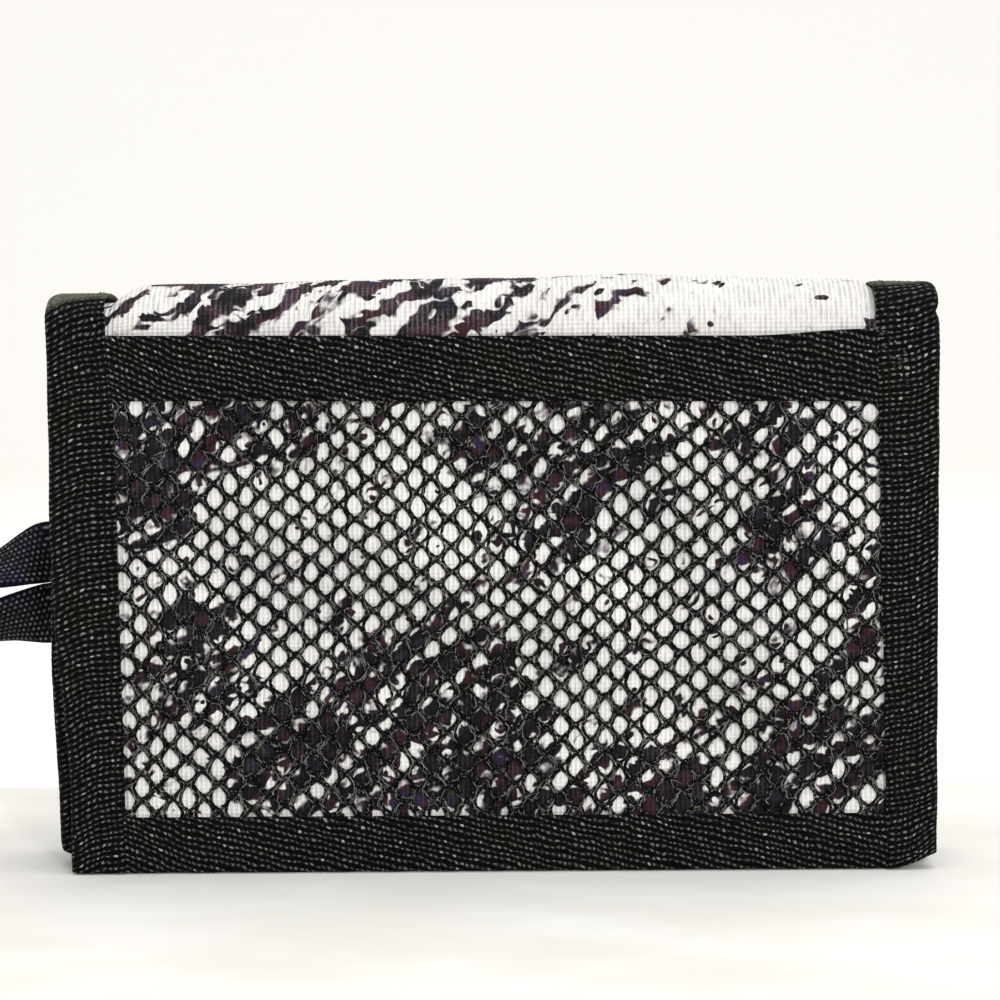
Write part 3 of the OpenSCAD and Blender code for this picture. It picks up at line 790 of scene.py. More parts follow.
def camera():
    """A close view from the front, slightly from above, with a small roll."""
    pitch, yaw, roll, distance = math.radians(4.38), math.radians(-0.68), math.radians(-0.52), 321.5
    aim = np.array([0.70, FLAP["tape"] - TAPE_T / 2, 53.86])
    level = math.cos(pitch)
    forward = np.array([math.sin(yaw) * level, math.cos(yaw) * level, -math.sin(pitch)])
    side = unit(np.cross(forward, [0, 0, 1]))
    up = np.cross(side, forward)
    data = bpy.data.cameras.new("camera")
    data.lens = 81.36
    data.sensor_width = 36
    data.clip_start = 0.01
    matrix = np.eye(4)
    matrix[:3, 0] = math.cos(roll) * side + math.sin(roll) * up
    matrix[:3, 1] = math.cos(roll) * up - math.sin(roll) * side
    matrix[:3, 2] = -forward
    matrix[:3, 3] = (aim - forward * distance) * MM
    obj = link(bpy.data.objects.new("camera", data))
    obj.matrix_world = Matrix(matrix.tolist())
    bpy.context.scene.camera = obj


def area_light(name, place, aim, size, power, colour):
    data = bpy.data.lights.new(name, "AREA")
    data.size = size
    data.energy = power
    data.color = colour
    obj = link(bpy.data.objects.new(name, data))
    obj.location = place
    obj.rotation_euler = (Vector(aim) - Vector(place)).to_track_quat("-Z", "Y").to_euler()


def studio():
    """A plain pale floor that sweeps up far behind the wallet, and soft even light."""
    wall_y, bend, reach, wall_top = 1600.0, 700.0, 3000.0, 2600.0
    curve = arc((wall_y - bend, bend), (bend, bend), 270, 360, 40)
    outline = np.vstack([[-reach, 0.0], curve, [wall_y, wall_top]])
    grid = stack(np.linspace(-reach, reach, 9), outline[:, :1], outline[:, 1:])
    floor = mesh_object("studio_floor", grid, grid_quads(*grid.shape[:2])[:, ::-1], grid[..., :2])
    t = Tree("pale_paper")
    place = t.place()
    _, deep, _ = t.split(place)
    mottled = t.noise(t.scale(place, (0.5, 1.0, 1.0)), 0.05, 4)
    colour = t.mix(t.step(mottled, 0.3, 0.7), (0.755, 0.745, 0.715), (0.83, 0.82, 0.795))
    # The painted board that the wallet stands on ends a little way behind it
    apart = t.math("MAXIMUM", t.step(deep, 51.5, 53.0), t.step(deep, -360.0, -800.0))
    colour = t.mix(apart, colour, (0.935, 0.925, 0.90))
    t.bump(t.noise(place, 0.15, 5), 0.15)
    floor.data.materials.append(
        t.finish(colour, t.step(mottled, 0.3, 0.7, 0.75, 0.85), Specular_IOR_Level=0.2))
    area_light("key", (0.32, -0.85, 0.35), (0, 0, 0.04), 0.10, 2.8, (1.0, 0.985, 0.96))
    area_light("overhead", (0.15, -0.05, 0.9), (0, 0, 0.0), 0.7, 3.5, (1.0, 1.0, 0.97))
    world = bpy.data.worlds.new("room")
    bpy.context.scene.world = world
    world.use_nodes = True
    background = world.node_tree.nodes["Background"]
    background.inputs["Color"].default_value = (1.0, 0.992, 0.975, 1.0)
    background.inputs["Strength"].default_value = 0.95
    bpy.context.scene.view_settings.view_transform = "Standard"


# ---------------------------------------------------------------- canvas and lining


def path_grid(s, points, left, right, step):
    """A grid and its UVs from a path in Y and Z, with a left and right limit for each of its points."""
    share = np.linspace(0, 1, int(round((right[0] - left[0]) / step)) + 1)
    grid = stack(left[:, None] * (1 - share) + right[:, None] * share, points[:, :1], points[:, 1:])
    return grid, stack(grid[..., 0], s[:, None])


def shell_grid(path, step):
    """The shell's whole width along a path."""
    s, points = path
    return path_grid(s, points, left_edge(points) + SHELL_INSET, right_edge(points) - SHELL_INSET, step)


def build_shell():
    """The printed canvas and the lining inside it, each round both folds in two pieces that meet under the coin
    pocket. The lining's faces are turned away from the canvas."""
    grid, uv = shell_grid(upper_path("canvas", CANVAS_RISE, 1.0, 1.5), 0.36)
    grid = cut_corner(lower_fold(grid, fold_height(grid[..., 0])))
    canvas = cloth("canvas_upper", grid, uv, CANVAS_T, canvas_relief)
    dress(canvas, "printed_canvas", zone=TOP_OUTER,
          stands_for=("flap_shell", "top_fold_shell", "back_shell"))
    grid, uv = shell_grid(lower_path("canvas", 1.05, 4.0, INNER_TOP - 0.8, 1.5), 0.36)
    canvas = cloth("canvas_lower", grid, uv, CANVAS_T, canvas_relief)
    dress(canvas, "printed_canvas", zone=LOW_OUTER, stands_for=("inner_shell", "bottom_fold_shell"))
    grid, uv = shell_grid(upper_path("lining", SHELL_TOP - TOP_Z - 1.4, 1.0, 1.2), 1.2)
    grid = cut_corner(lower_fold(grid, fold_height(grid[..., 0]) - 0.03))
    lining = cloth("lining_upper", grid[:, ::-1], uv[:, ::-1], LINING_T, slack(0.06, 14, 8))
    dress(lining, "lining", zone=TOP_INNER, stands_for=("flap_lining", "top_fold_lining", "back_lining"))
    grid, uv = shell_grid(lower_path("lining", 2.0, 1.77, INNER_TOP - 0.8, 1.2), 1.2)
    lining = cloth("lining_lower", grid[:, ::-1], uv[:, ::-1], LINING_T, slack(0.06, 14, 9))
    dress(lining, "lining", zone=LOW_LINING, stands_for=("inner_lining", "bottom_fold_lining"))


# ---------------------------------------------------------------- binding tape


FINE, COARSE = 0.24, 0.34


def rolled_leg(path, edge_x, inner_x, depth, outside, step, radius=0.9):
    """A tape leg whose outer edge rolls over by a depth. outside is 1 where the roll turns in
    from outside the fold, and -1 where it comes from inside it."""
    s, points = path
    normal = path_normals(points) * outside
    side = np.sign(edge_x[0])
    leg = np.abs(edge_x - inner_x) - radius
    flat = np.linspace(0, 1, max(4, int(leg.mean() / step)) + 1)
    turn = np.linspace(0, math.pi / 2, max(4, int(radius * 1.57 / step)) + 1)[1:]
    rest = np.linspace(0, depth - radius, max(1, int((depth - radius) / step)) + 1)[1:]
    x = np.concatenate([
        inner_x[:, None] + side * leg[:, None] * flat,
        (inner_x + side * leg)[:, None] + side * radius * np.sin(turn),
        np.repeat(edge_x[:, None], len(rest), 1),
    ], 1)
    sink = np.concatenate([0 * flat, radius * (1 - np.cos(turn)), radius + rest])
    reach = np.concatenate([leg.mean() * flat, leg.mean() + radius * turn,
                            leg.mean() + radius * math.pi / 2 + rest])
    grid = stack(x, points[:, :1] - normal[:, :1] * sink, points[:, 1:] - normal[:, 1:] * sink)
    along, across = np.broadcast_arrays(s[:, None], side * reach)
    uv = upright_rows(along, across, 61 + 7 * int(side))
    if side * outside < 0:
        grid, uv = grid[:, ::-1], uv[:, ::-1]
    return grid, uv


def stitch_row(name, line, normal, lift, pitch=2.6, share=0.62):
    """A row of short stitches along a line of points, with both ends sunk into the cloth."""
    per, rings = 12, 7
    s, even = resample(line, pitch / per)
    normals = columns_at(s, np.linspace(0, s[-1], len(normal)), normal)
    height = lift - 0.28 + 0.28 * np.sin(np.linspace(0, math.pi, rings)) ** 0.5
    rows = []
    for first in range(0, (len(even) - 1) // per * per, per):
        base = columns_at(np.linspace(0, share * per, rings) + first, np.arange(len(even)), even)
        rows.append(base + normals[first] * height[:, None])
    return tubes(name, rows, 0.15)


def side_tape(name, path, side, depth, outside, zone, stands_for, step=COARSE, cut=False, worn=False):
    """One side tape: its leg, its rolled edge and its stitching. A worn one has raised fibres over the fold, which
    the tape's shader paints with a highlight."""
    edge, inner = (left_edge, left_inner) if side == "left" else (right_edge, right_inner)
    grid, uv = rolled_leg(path, edge(path[1]), inner(path[1]), depth, outside, step)
    if cut:
        grid = cut_corner(grid)
    uv[..., 1] += CREST * worn
    piece = cloth(name, grid, uv, TAPE_T, low_tape(1.0 if outside > 0 else 0.5), 0.32)
    dress(piece, "binding_tape", zone=zone, stands_for=stands_for)
    seam = int(1.5 / step)
    inner_first = np.abs(grid[0, 0, 0]) < np.abs(grid[0, -1, 0])
    column = seam if inner_first else grid.shape[1] - 1 - seam
    lift = TAPE_T / 2 + (STITCH_LIFT if outside > 0 else -0.06)
    thread = stitch_row(name + "_stitches", grid[2:-2, column], grid_normals(grid)[2:-2, column], lift)
    dress(thread, "thread", zone=zone, slot="binding_tape")


def build_side_tapes():
    """Each side of each face has its own tape, which runs unbroken from the flap or inner panel
    to the back. The left ones' legs on the back and inside are not CAD nodes of their own."""
    head = INNER_TOP - 0.35
    for side, rise in (("left", 6.15), ("right", 6.85)):
        right = side == "right"
        wraps = ["flap_binding_" + side, "top_fold_binding_" + side] + ["back_binding_right"] * right
        side_tape(f"tape_{side}_outer", upper_path("tape", rise, 0.35, FINE, square=2.9), side,
                  1.25, 1, TOP_OUTER, wraps, FINE, cut=right, worn=True)
        wraps = [panel + "_lining_binding_right" for panel in ("flap", "top_fold", "back")]
        path = upper_path("inside", rise - 2.3, 0.35, COARSE, square=2.6)
        side_tape(f"tape_{side}_outer_inside", path, side, 1.45, -1, TOP_INNER, wraps * right, cut=right)
        wraps = ["inner_binding_" + side, "bottom_fold_binding_" + side]
        side_tape(f"tape_{side}_inner", lower_path("tape", 0.42, 4.4, head, COARSE), side,
                  1.25, 1, LOW_OUTER, wraps)
        wraps = [panel + "_lining_binding_right" for panel in ("inner", "bottom_fold")]
        side_tape(f"tape_{side}_inner_inside", lower_path("inside", 3.0, 0.57, head, COARSE), side,
                  1.4, -1, LOW_INNER, wraps * right)


def build_back_edge():
    """On the left the bill compartment is closed by a tape over the whole edge of the back."""
    z = np.arange(3.4, TOP_Z - 1.5, 0.3)
    y = np.linspace(BACK["inside"] + 0.9, BACK["tape"] - 0.9, 26)
    bulge = 0.25 + 0.35 * (1 - np.linspace(-1, 1, len(y)) ** 2)
    lean = left_edge(np.column_stack([0 * z + BACK["tape"], z]))
    grid = stack(lean[:, None] + bulge, y, z[:, None])
    uv = upright_rows(grid[..., 2], grid[..., 1])
    piece = cloth("tape_back_edge", grid[:, ::-1], uv[:, ::-1], TAPE_T, tape_relief)
    dress(piece, "binding_tape", body="back", stands_for=("back_binding_left",))


def level_tape(name, outline, downward, x_left, x_right, body, node, step=FINE, bend=None):
    """A level tape: an outline in Y and Z carried along X, and then bent."""
    c, outline = resample(outline, step)
    x = np.linspace(x_left, x_right, int((x_right - x_left) / step) + 1)
    grid = stack(x, outline[:, :1], outline[:, 1:])
    if bend:
        grid = bend(grid, c[:, None] / c[-1])
    uv = level_rows(grid[..., 0], downward * c[:, None] + 0 * grid[..., 0])
    # Columns run across the tape, so that its long edges are the rounded ones
    grid, uv = grid.transpose(1, 0, 2), uv.transpose(1, 0, 2)
    if grid_normals(grid)[len(x) // 2, 0, 1] > 0:
        grid, uv = grid[:, ::-1], uv[:, ::-1]
    dress(cloth(name, grid, uv, TAPE_T, tape_relief), "binding_tape", body=body, stands_for=(node,))


def round_edge(z_edge, z_leg, y_front, y_back, up):
    """The outline of a tape folded over a level edge: a leg on each face and a round between."""
    radius = min(0.9, (y_back - y_front) / 2)
    foot = z_edge - up * abs(z_leg - z_edge)
    centre = z_edge - up * radius
    return np.vstack([[y_front, foot],
                      arc((y_front + radius, centre), (radius, radius * up), 180, 90, 12),
                      arc((y_back - radius, centre), (radius, radius * up), 90, 0, 12),
                      [y_back, foot]])


def level_stitches(name, x_left, x_right, y, z, body, tilt=0.0):
    x = np.linspace(x_left, x_right, 200)
    line = np.column_stack([x, np.full_like(x, y), z + tilt * x])
    thread = stitch_row(name, line, np.tile([0.0, -1.0, 0.0], (len(x), 1)), TAPE_T / 2 + STITCH_LIFT)
    dress(thread, "thread", body=body, slot="binding_tape")


def build_level_tapes():
    """The hem over the net, the flap's foot and the inner panel's head."""
    tilt = -0.0085

    def hem_bend(grid, share):
        x = grid[..., 0]
        grid[..., 2] += tilt * x + 0.95 * (1 - share) * smooth((x - 36) / 17)
        return grid

    y = FLAP["tape"] + 0.1
    level_tape("tape_hem", [[y, HEM_HIGH[2]], [y, HEM_LOW[2]]], -1, -INSIDE_X - 4, INSIDE_X + 4,
               "flap", "mesh_hem_tape", bend=hem_bend)
    high = corners("flap_binding_bottom")[1]
    level_tape("tape_bottom", round_edge(0.35, high[2], FLAP["tape"] + 0.12, FLAP["inside"], -1), -1,
               -HALF_W + 2.9, HALF_W - 2.1, "flap", "flap_binding_bottom",
               bend=lambda grid, share: cut_corner(grid))
    low, high = corners("inner_binding_end")
    outline = round_edge(high[2] - 0.3, low[2], INNER["tape"] + 0.12, INNER["inside"] - 0.12, 1)
    level_tape("tape_inner_end", outline, 1, -HALF_W + 0.9, HALF_W - 2.1, "inner", "inner_binding_end",
               COARSE)
    for name, z, slant in (("hem_stitches_upper", HEM_HIGH[2] - 1.0, tilt),
                           ("hem_stitches_lower", HEM_LOW[2] + 1.1, tilt),
                           ("bottom_stitches", 7.3, 0.0)):
        level_stitches(name, -INSIDE_X, INSIDE_X, y, z, "flap", slant)


# ---------------------------------------------------------------- net pocket

HOLE_PITCH = (4.45, 3.93)
HOLE_HALF = (1.35, 1.68)
NET_YARN = 0.25


def hole_centres(margin_x, z_low, z_high):
    """Centres of the net's holes, in two lattices half a pitch apart."""
    found = []
    for half in (0.0, 0.5):
        gx, gz = np.meshgrid((np.arange(-14, 15) + half) * HOLE_PITCH[0],
                             (np.arange(-1, 20) + half) * HOLE_PITCH[1] + 1.0)
        found.append(np.column_stack([gx.ravel(), gz.ravel()]))
    points = np.vstack(found)
    keep = (np.abs(points[:, 0]) < margin_x) & (points[:, 1] > z_low) & (points[:, 1] < z_high)
    return points[keep]


def net_warp(x, z):
    """The net is pulled a little out of true."""
    return (x + 0.5 * waves(x, z, 42, 21) + 0.14 * waves(x, z, 9, 22),
            z + 0.035 * x + 0.45 * waves(x, z, 38, 23) + 0.14 * waves(x, z, 9, 24))


def hole_outline(turn):
    """A kite with soft sides: sharp at the top, blunt at the foot and widest below its middle."""
    sine, cosine = np.sin(turn), np.cos(turn)
    across = np.sign(sine) * np.abs(sine) ** 1.35
    high = np.sign(cosine) * np.abs(cosine) ** np.where(cosine > 0, 1.45, 1.2)
    return HOLE_HALF[0] * across, HOLE_HALF[1] * high - 0.12 * across * across


def build_net():
    """Each hole is a closed loop of yarn; finer yarns run between the loops and knot them, and loose
    filaments stand out from them."""
    centres = hole_centres(INSIDE_X + 2.5, 3.0, HEM_LOW[2] + 4)
    column = (len(centres), 1)
    turn = np.linspace(0, TURN, 24, endpoint=False)
    across, high = hole_outline(turn)
    size = 1 + RANDOM.uniform(-0.09, 0.05, column)
    lean = RANDOM.uniform(-0.09, 0.09, column)
    skew = RANDOM.uniform(-0.1, 0.1, column)
    x, z = net_warp(centres[:, :1] + across * size + lean * high,
                    centres[:, 1:] + high * (2 - size) + skew * across)
    x = x + 0.035 * RANDOM.normal(size=x.shape)
    z = z + 0.035 * RANDOM.normal(size=z.shape)
    y = NET_Y - 0.04 - 0.10 * np.cos(2 * turn) + 0.04 * RANDOM.normal(size=column)
    thick = NET_YARN * (1 + 0.13 * np.sin(turn * 9) + 0.05 * RANDOM.normal(size=column))
    loops = tubes("net_loops", stack(x, y, z), thick, 5, closed=True)
    # Finer yarns zigzag through the gaps between neighbouring loops
    half_x, half_z = 0.5 * HOLE_PITCH[0], 0.5 * HOLE_PITCH[1]
    share = np.linspace(0, 1, 13)
    rows = []
    for way in (-1, 1):
        start = centres + np.array([way * half_x * 0.97, -0.04])
        end = centres + np.array([0.0, half_z * 0.98])
        zigzag = np.sin(share * 5 * math.pi + RANDOM.uniform(0, 6, column))
        x, z = net_warp(start[:, :1] * (1 - share) + end[:, :1] * share + way * 0.16 * zigzag,
                        start[:, 1:] * (1 - share) + end[:, 1:] * share + 0.20 * zigzag)
        rows.append(stack(x, NET_Y + 0.02 + 0.10 * np.sin(math.pi * share), z))
    ties = tubes("net_ties", np.concatenate(rows), 0.13)
    # Knots where four loops meet
    bow = np.cos(np.linspace(-math.pi / 2, math.pi / 2, 7))
    rows = []
    for tilt, high_by in ((0.55, 0.0), (-0.5, 0.12), (0.1, -0.22)):
        half = 0.42 if high_by else 0.55
        x = centres[:, :1] + np.linspace(-half, half, 7) + RANDOM.normal(0, 0.07, column)
        z = centres[:, 1:] + half_z + high_by + tilt * (x - centres[:, :1])
        x, z = net_warp(x, z + RANDOM.normal(0, 0.05, column))
        rows.append(stack(x, NET_Y - 0.12 - 0.16 * bow, z))
    knots = tubes("net_knots", np.concatenate(rows), 0.17)
    # Loose filaments that follow the loops' sides, and a few that cross the holes, pale grey as a painted
    # highlight on the black yarn
    many = (5600, 1)
    which = RANDOM.integers(0, len(centres), many[0])
    begin = RANDOM.uniform(0, TURN, many)
    span = RANDOM.uniform(0.35, 1.15, many) * RANDOM.choice([-1, 1], many)
    run = np.linspace(0, 1, 5)
    across, high = hole_outline(begin + span * run)
    swell = 1 + RANDOM.normal(0.10, 0.14, many) + RANDOM.normal(0, 0.22, many) * (run - 0.5)
    curl = 0.12 * np.sin(run * RANDOM.uniform(2, 7, many) + RANDOM.uniform(0, 6, many))
    x, z = net_warp(centres[which, :1] + across * swell + curl,
                    centres[which, 1:] + high * swell + curl * RANDOM.choice([-1, 1], many))
    y = NET_Y - 0.20 - 0.12 * np.sin(run * math.pi) + 0.04 * RANDOM.normal(size=many)
    keep = (np.abs(x).max(1) < INSIDE_X + 2) & (z.min(1) > 5) & (z.max(1) < HEM_LOW[2] + 3)
    girth = RANDOM.uniform(0.04, 0.066, many) * np.ones((1, 5))
    hairs = tubes("net_fluff", stack(x, y, z)[keep], girth[keep])
    for piece, look in ((ties, "mesh"), (knots, "mesh"), (hairs, "fluff")):
        dress(piece, look, body="flap", slot="mesh")
    dress(loops, "mesh", body="flap", stands_for=("mesh_panel",))


# ---------------------------------------------------------------- what is inside


def flat_cloth(name, x_range, z_range, y, thickness, facing, step, relief=None, upright=False):
    """A flat rectangular cloth, facing -Y or +Y. Its yarns run along X, or upright."""
    x, z = (np.linspace(*ends, max(3, int((ends[1] - ends[0]) / size) + 1))
            for ends, size in zip((x_range, z_range), step))
    grid = stack(x, y, z[:, None])
    uv = stack(grid[..., 2], grid[..., 0]) if upright else stack(grid[..., 0], grid[..., 2])
    if facing < 0:
        grid, uv = grid[::-1], uv[::-1]
    return cloth(name, grid, uv, thickness, relief)


def node_cloth(name, node, look, body, thickness, facing, step, relief=None, y=None, grow=(0.0, 0.0)):
    """A flat cloth over a CAD node, grown a little at its foot and head."""
    low, high = corners(node)
    piece = flat_cloth(name, (low[0], high[0]), (low[2] - grow[0], high[2] + grow[1]),
                       middle(node) if y is None else y, thickness, facing, step, relief)
    dress(piece, look, body=body, stands_for=(node,))
    return piece


def build_pockets():
    """Three stepped card pockets with bound mouths, and the divider of the bill compartment."""
    relief = slack(0.05, 12, 31)
    for place in ("top", "middle", "bottom"):
        node, edge = "card_pocket_" + place, "card_edge_" + place
        low, high = corners(node)
        mouth = corners(edge)[0][2]
        head = mouth + 0.8
        pocket = node_cloth("card_pocket_cloth_" + place, node, "lining", "back", 0.26, -1, (1.5, 1.2),
                            relief, grow=(0.0, head - high[2]))
        y = middle(node)
        node_cloth("card_edge_tape_" + place, edge, "binding_tape", "back", 0.36, -1, (0.3, 0.3),
                   low_tape(0.5), y)
        level_stitches("card_edge_stitches_" + place, low[0] + 1, high[0] - 1, y + 0.12,
                       mouth + 0.9, "back")
    divider = node_cloth("bill_divider_cloth", "bill_divider", "lining", "back", 0.3, -1,
                         (1.5, 1.5), relief)
    face_size("bill_divider")


def build_window():
    """Clear card window on the inner panel's hidden face, inside a tape frame."""
    vinyl = node_cloth("window_vinyl", "id_window", "clear_vinyl", "inner", 0.22, 1, (3, 3),
                       slack(0.03, 18, 41))
    face_size("id_window")
    low, high = corners("id_window_frame")
    width, y = 4.0, middle("id_window_frame") + 0.05
    sides = (low[2] + width - 0.6, high[2])
    for place, x_range, z_range in (("foot", (low[0], high[0]), (low[2], low[2] + width)),
                                    ("left", (low[0], low[0] + width), sides),
                                    ("right", (high[0] - width, high[0]), sides)):
        upright = place != "foot"
        strip = flat_cloth("window_frame_" + place, x_range, z_range, y, 0.4, 1, (0.3, 0.3),
                           low_tape(0.6), upright)
        dress(strip, "binding_tape", body="inner", stands_for=() if upright else ("id_window_frame",))


def build_patches():
    """Hook patch on the flap's inside and the loop patch on the inner panel, with real pile."""
    low, high = corners("hook_patch")
    node_cloth("hook_base", "hook_patch", "hook_tape", "flap", 0.24, 1, (1, 1), y=low[1] + 0.14)
    gx, gz = np.meshgrid(np.arange(low[0] + 1, high[0] - 0.6, 1.25),
                         np.arange(low[2] + 1, high[2] - 0.6, 1.05))
    at_x, at_z = gx.reshape(-1, 1), gz.reshape(-1, 1)
    bend = np.linspace(0, 1, 8)
    way = np.where(np.arange(len(at_x)) % 2, 1, -1)[:, None]
    hooks = stack(at_x + way * 0.32 * np.sin(bend * math.pi) * bend,
                  low[1] + 0.18 + np.minimum(0.46 * np.sin(np.minimum(bend * 3.6, 2.4)), 0.42),
                  at_z + 0.12 * np.sin(bend * 5))
    dress(tubes("hook_pile", hooks, 0.075), "hook_tape", body="flap")
    low, high = corners("loop_patch")
    node_cloth("loop_base", "loop_patch", "loop_tape", "inner", 0.24, -1, (1, 1), y=high[1] - 0.14)
    many = (2600, 1)
    at_x = RANDOM.uniform(low[0] + 0.8, high[0] - 0.8, many)
    at_z = RANDOM.uniform(low[2] + 0.8, high[2] - 0.8, many)
    angle = RANDOM.uniform(0, TURN, many)
    bend = np.linspace(0, math.pi, 7)
    size = RANDOM.uniform(0.35, 0.7, many)
    loops = stack(at_x + size * np.cos(angle) * np.cos(bend),
                  high[1] - 0.2 - 0.36 * np.sin(bend) * RANDOM.uniform(0.5, 1, many),
                  at_z + size * np.sin(angle) * np.cos(bend))
    dress(tubes("loop_pile", loops, 0.05), "loop_tape", body="inner")


# ---------------------------------------------------------------- coin pocket


def frame_band():
    """The tape round the coin pocket: a leg on the pocket's face, rolled down to the shell."""
    low, high = corners("coin_pocket_binding")
    corner, radius, leg = 5.0, 0.8, 3.4
    top, floor = corners("coin_pocket_panel")[1][1] + 0.12, low[1] + 0.1
    half, foot, head = high[0] - 0.35, low[2] + 0.35, high[2] - 0.35
    outline = [[[0, foot]]]
    for x, z, turn in ((half - corner, foot + corner, -90), (half - corner, head - corner, 0),
                       (corner - half, head - corner, 90), (corner - half, foot + corner, 180)):
        outline.append(arc((x, z), (corner, corner), turn, turn + 90, 16))
    s, ring = resample(np.vstack(outline + [[[0, foot]]]), 0.3)
    outward = path_normals(ring)
    quarter = np.linspace(0, math.pi / 2, 7)[1:]
    inset = np.concatenate([np.linspace(leg, radius, 10), radius * (1 - np.sin(quarter)), np.zeros(6)])
    depth = np.concatenate([np.full(10, top), top - radius * (1 - np.cos(quarter)),
                            np.linspace(top - radius, floor, 7)[1:]])
    grid = stack(ring[:, :1] - outward[:, :1] * inset, depth, ring[:, 1:] - outward[:, 1:] * inset)
    reach = np.concatenate([[0], np.cumsum(np.hypot(np.diff(inset), np.diff(depth)))])
    uv = uneven(stack(s[:, None], reach), 71)
    band = cloth("coin_pocket_tape", grid[:, ::-1], uv[:, ::-1], 0.5, low_tape(0.8))
    dress(band, "binding_tape", body="back", stands_for=("coin_pocket_binding",))
    line = grid[:-1, 4]
    thread = stitch_row("coin_pocket_stitches", line, np.tile([0.0, 1.0, 0.0], (len(line), 1)), 0.34)
    dress(thread, "thread", body="back", slot="binding_tape")


def coil(name, z_centre, start, node):
    """One side of the coil zip: a flattened helix whose turns pass between those of the other side."""
    low, high = corners(node)
    pitch, per_turn = 1.24, 12
    turn = np.arange(int((high[0] - low[0] - 1) / pitch * per_turn)) * TURN / per_turn
    x = low[0] + 0.5 + start * pitch + pitch * turn / TURN
    path = np.column_stack([x, middle(node) + 0.36 * np.sin(turn), z_centre + 0.72 * np.cos(turn)])
    piece = tubes(name, path[None], 0.2)
    rounder = piece.modifiers.new("round", "SUBSURF")
    rounder.levels = rounder.render_levels = 1
    dress(piece, "zip_teeth", body="back", stands_for=(node,))


def rounded_copy(node, name, width, body):
    """A CAD piece of the zip with its sharp edges eased."""
    obj = link(bpy.data.objects.new(name, frame["nodes"][node].data.copy()))
    obj.modifiers.new("weld", "WELD").merge_threshold = 1e-6
    bevel = obj.modifiers.new("bevel", "BEVEL")
    bevel.width = width * MM
    bevel.segments = 3
    bevel.limit_method = "ANGLE"
    bevel.angle_limit = math.radians(40)
    bevel.harden_normals = False
    for polygon in obj.data.polygons:
        polygon.use_smooth = False
    dress(obj, "zip_metal", body=body, stands_for=(node,))


def build_coin_pocket():
    """A canvas pocket on the back with a tape frame and a zip along its head."""
    panel = node_cloth("coin_pocket_cloth", "coin_pocket_panel", "printed_canvas", "back", CANVAS_T, 1,
                       (0.36, 1.5), rib_relief, grow=(0.0, 0.4))
    strip = node_cloth("coin_pocket_head_cloth", "coin_pocket_top_strip", "printed_canvas", "back",
                       CANVAS_T, 1, (0.36, 1.5), rib_relief, grow=(0.4, 0.0))
    face_size("coin_pocket_panel")
    frame_band()
    zip_z = middle("zip_slider", 2)
    for place, sign, start in (("lower", -1, 0.0), ("upper", 1, 0.5)):
        low, high = corners("zip_tape_" + place)
        ends = sorted(((low if sign < 0 else high)[2] + sign * 0.5, zip_z + sign * 0.75))
        tape = flat_cloth("zip_tape_cloth_" + place, (low[0], high[0]), ends,
                          middle("zip_tape_" + place) - 0.12, 0.32, 1, (0.4, 0.3))
        dress(tape, "zip_tape", body="back", stands_for=("zip_tape_" + place,))
        coil("zip_coil_" + place, zip_z + sign * 0.66, start, "zip_teeth_" + place)
    rounded_copy("zip_stops", "zip_end_stops", 0.3, "back")
    rounded_copy("zip_slider", "zip_slider_body", 0.28, "zip_slider")
    rounded_copy("zip_pull", "zip_pull_tab", 0.2, "zip_pull")


# ---------------------------------------------------------------- lanyard loop


def loop_route(a):
    """Middle line of the loop at an angle from 0, its upper leg, to 180, its lower one, in mm.
    The legs are drawn together just outside the edge, then open into the loop."""
    swing = next(joint for joint in frame["joints"] if joint["name"] == "loop_swing")
    start = np.array(swing["pos_m"]) / MM
    reach, leg, bulge = 33.0, 4.6, 3.4
    turn = np.radians(a)
    x = reach * np.sin(turn)
    pinch = -0.47 * smooth(x / 7) * (1 - smooth((x - 9) / 12)) * np.sign(np.cos(turn))
    spread = bulge * np.sin(2 * turn) * smooth((x - 8) / 14)
    z = leg * np.cos(turn) + pinch + spread - 0.20 * x - 0.006 * x * x + 0.92
    return np.column_stack([start[0] - x, np.full_like(x, start[1]), start[2] + z]), x


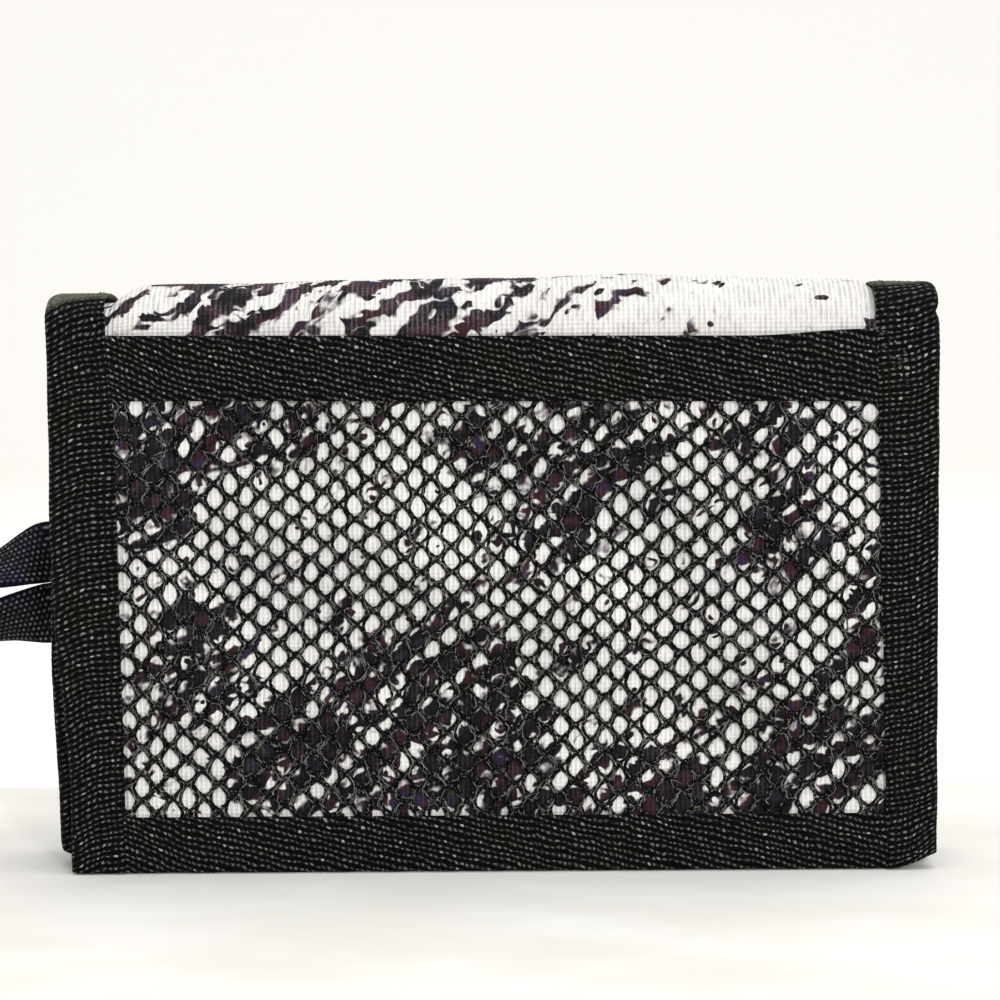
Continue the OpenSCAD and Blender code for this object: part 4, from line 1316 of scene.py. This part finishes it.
def build_loop():
    """Flat webbing that leaves the edge upright and turns a quarter round along each leg."""
    a = np.linspace(0, 180, 420)
    line, x = loop_route(a)
    flatness = np.exp(-x / np.where(a < 90, 7.5, 11.0)) * (1 - smooth((x - 18) / 13))
    along = unit(np.gradient(line, axis=0))
    outward = np.column_stack([along[:, 2], np.zeros(len(a)), -along[:, 0]])
    outward[0], outward[-1] = (0, 0, 1), (0, 0, -1)
    # Straight tails run on into the wallet's edge
    tail = np.arange(6.0, 0.0, -0.3)[:, None] * np.array([1.0, 0, 0])
    ends = len(tail)
    line = np.vstack([line[0] + tail, line, line[-1] + tail[::-1]])
    outward = np.pad(outward, ((ends, ends), (0, 0)), mode="edge")
    twist = np.pad(math.pi / 2 * (1 - flatness), ends)[:, None]
    across = np.cos(twist) * outward + np.sin(twist) * np.array([0, 1.0, 0])
    width, thick = 9.0, 1.05
    offset = np.linspace(-width / 2, width / 2, 43)
    grid = line[:, None, :] + offset[:, None] * across[:, None, :]
    s = np.concatenate([[0], np.cumsum(np.linalg.norm(np.diff(line, axis=0), axis=1))])

    def ribs(along_mm, across_mm):
        lane = np.floor(across_mm / WEB_RIB)
        dash = np.cos(TURN * (along_mm + 0.5 * WEB_PITCH * lane) / WEB_PITCH)
        return 0.09 * (0.5 - 0.5 * np.cos(TURN * across_mm / WEB_RIB)) * (0.7 + 0.3 * dash)

    uv = stack(s[:, None], offset + width / 2)
    piece = cloth("lanyard_webbing", grid, uv, thick, ribs, 0.5, both=True)
    dress(piece, "webbing", zone=LOOP_ROOT, stands_for=("lanyard_loop", "loop_tails"))


def build_boards():
    """The stiff boards between shell and lining, cut to clear the tapes."""
    for name in ("flap", "back", "inner"):
        low, high = corners(name + "_board")
        z = np.linspace(low[2], high[2], 40)
        points = np.column_stack([np.full_like(z, middle(name + "_board")), z])
        right = np.full_like(z, min(high[0], HALF_W - 2.6))
        grid, uv = path_grid(z, points, left_edge(points) + 1.6, right, 3.0)
        dress(cloth(name + "_stiffener", grid, uv, high[1] - low[1] - 0.05), "board", body=name,
              stands_for=(name + "_board",))


camera()
studio()
build_shell()
build_side_tapes()
build_back_edge()
build_level_tapes()
build_net()
build_pockets()
build_window()
build_patches()
build_coin_pocket()
build_loop()
build_boards()
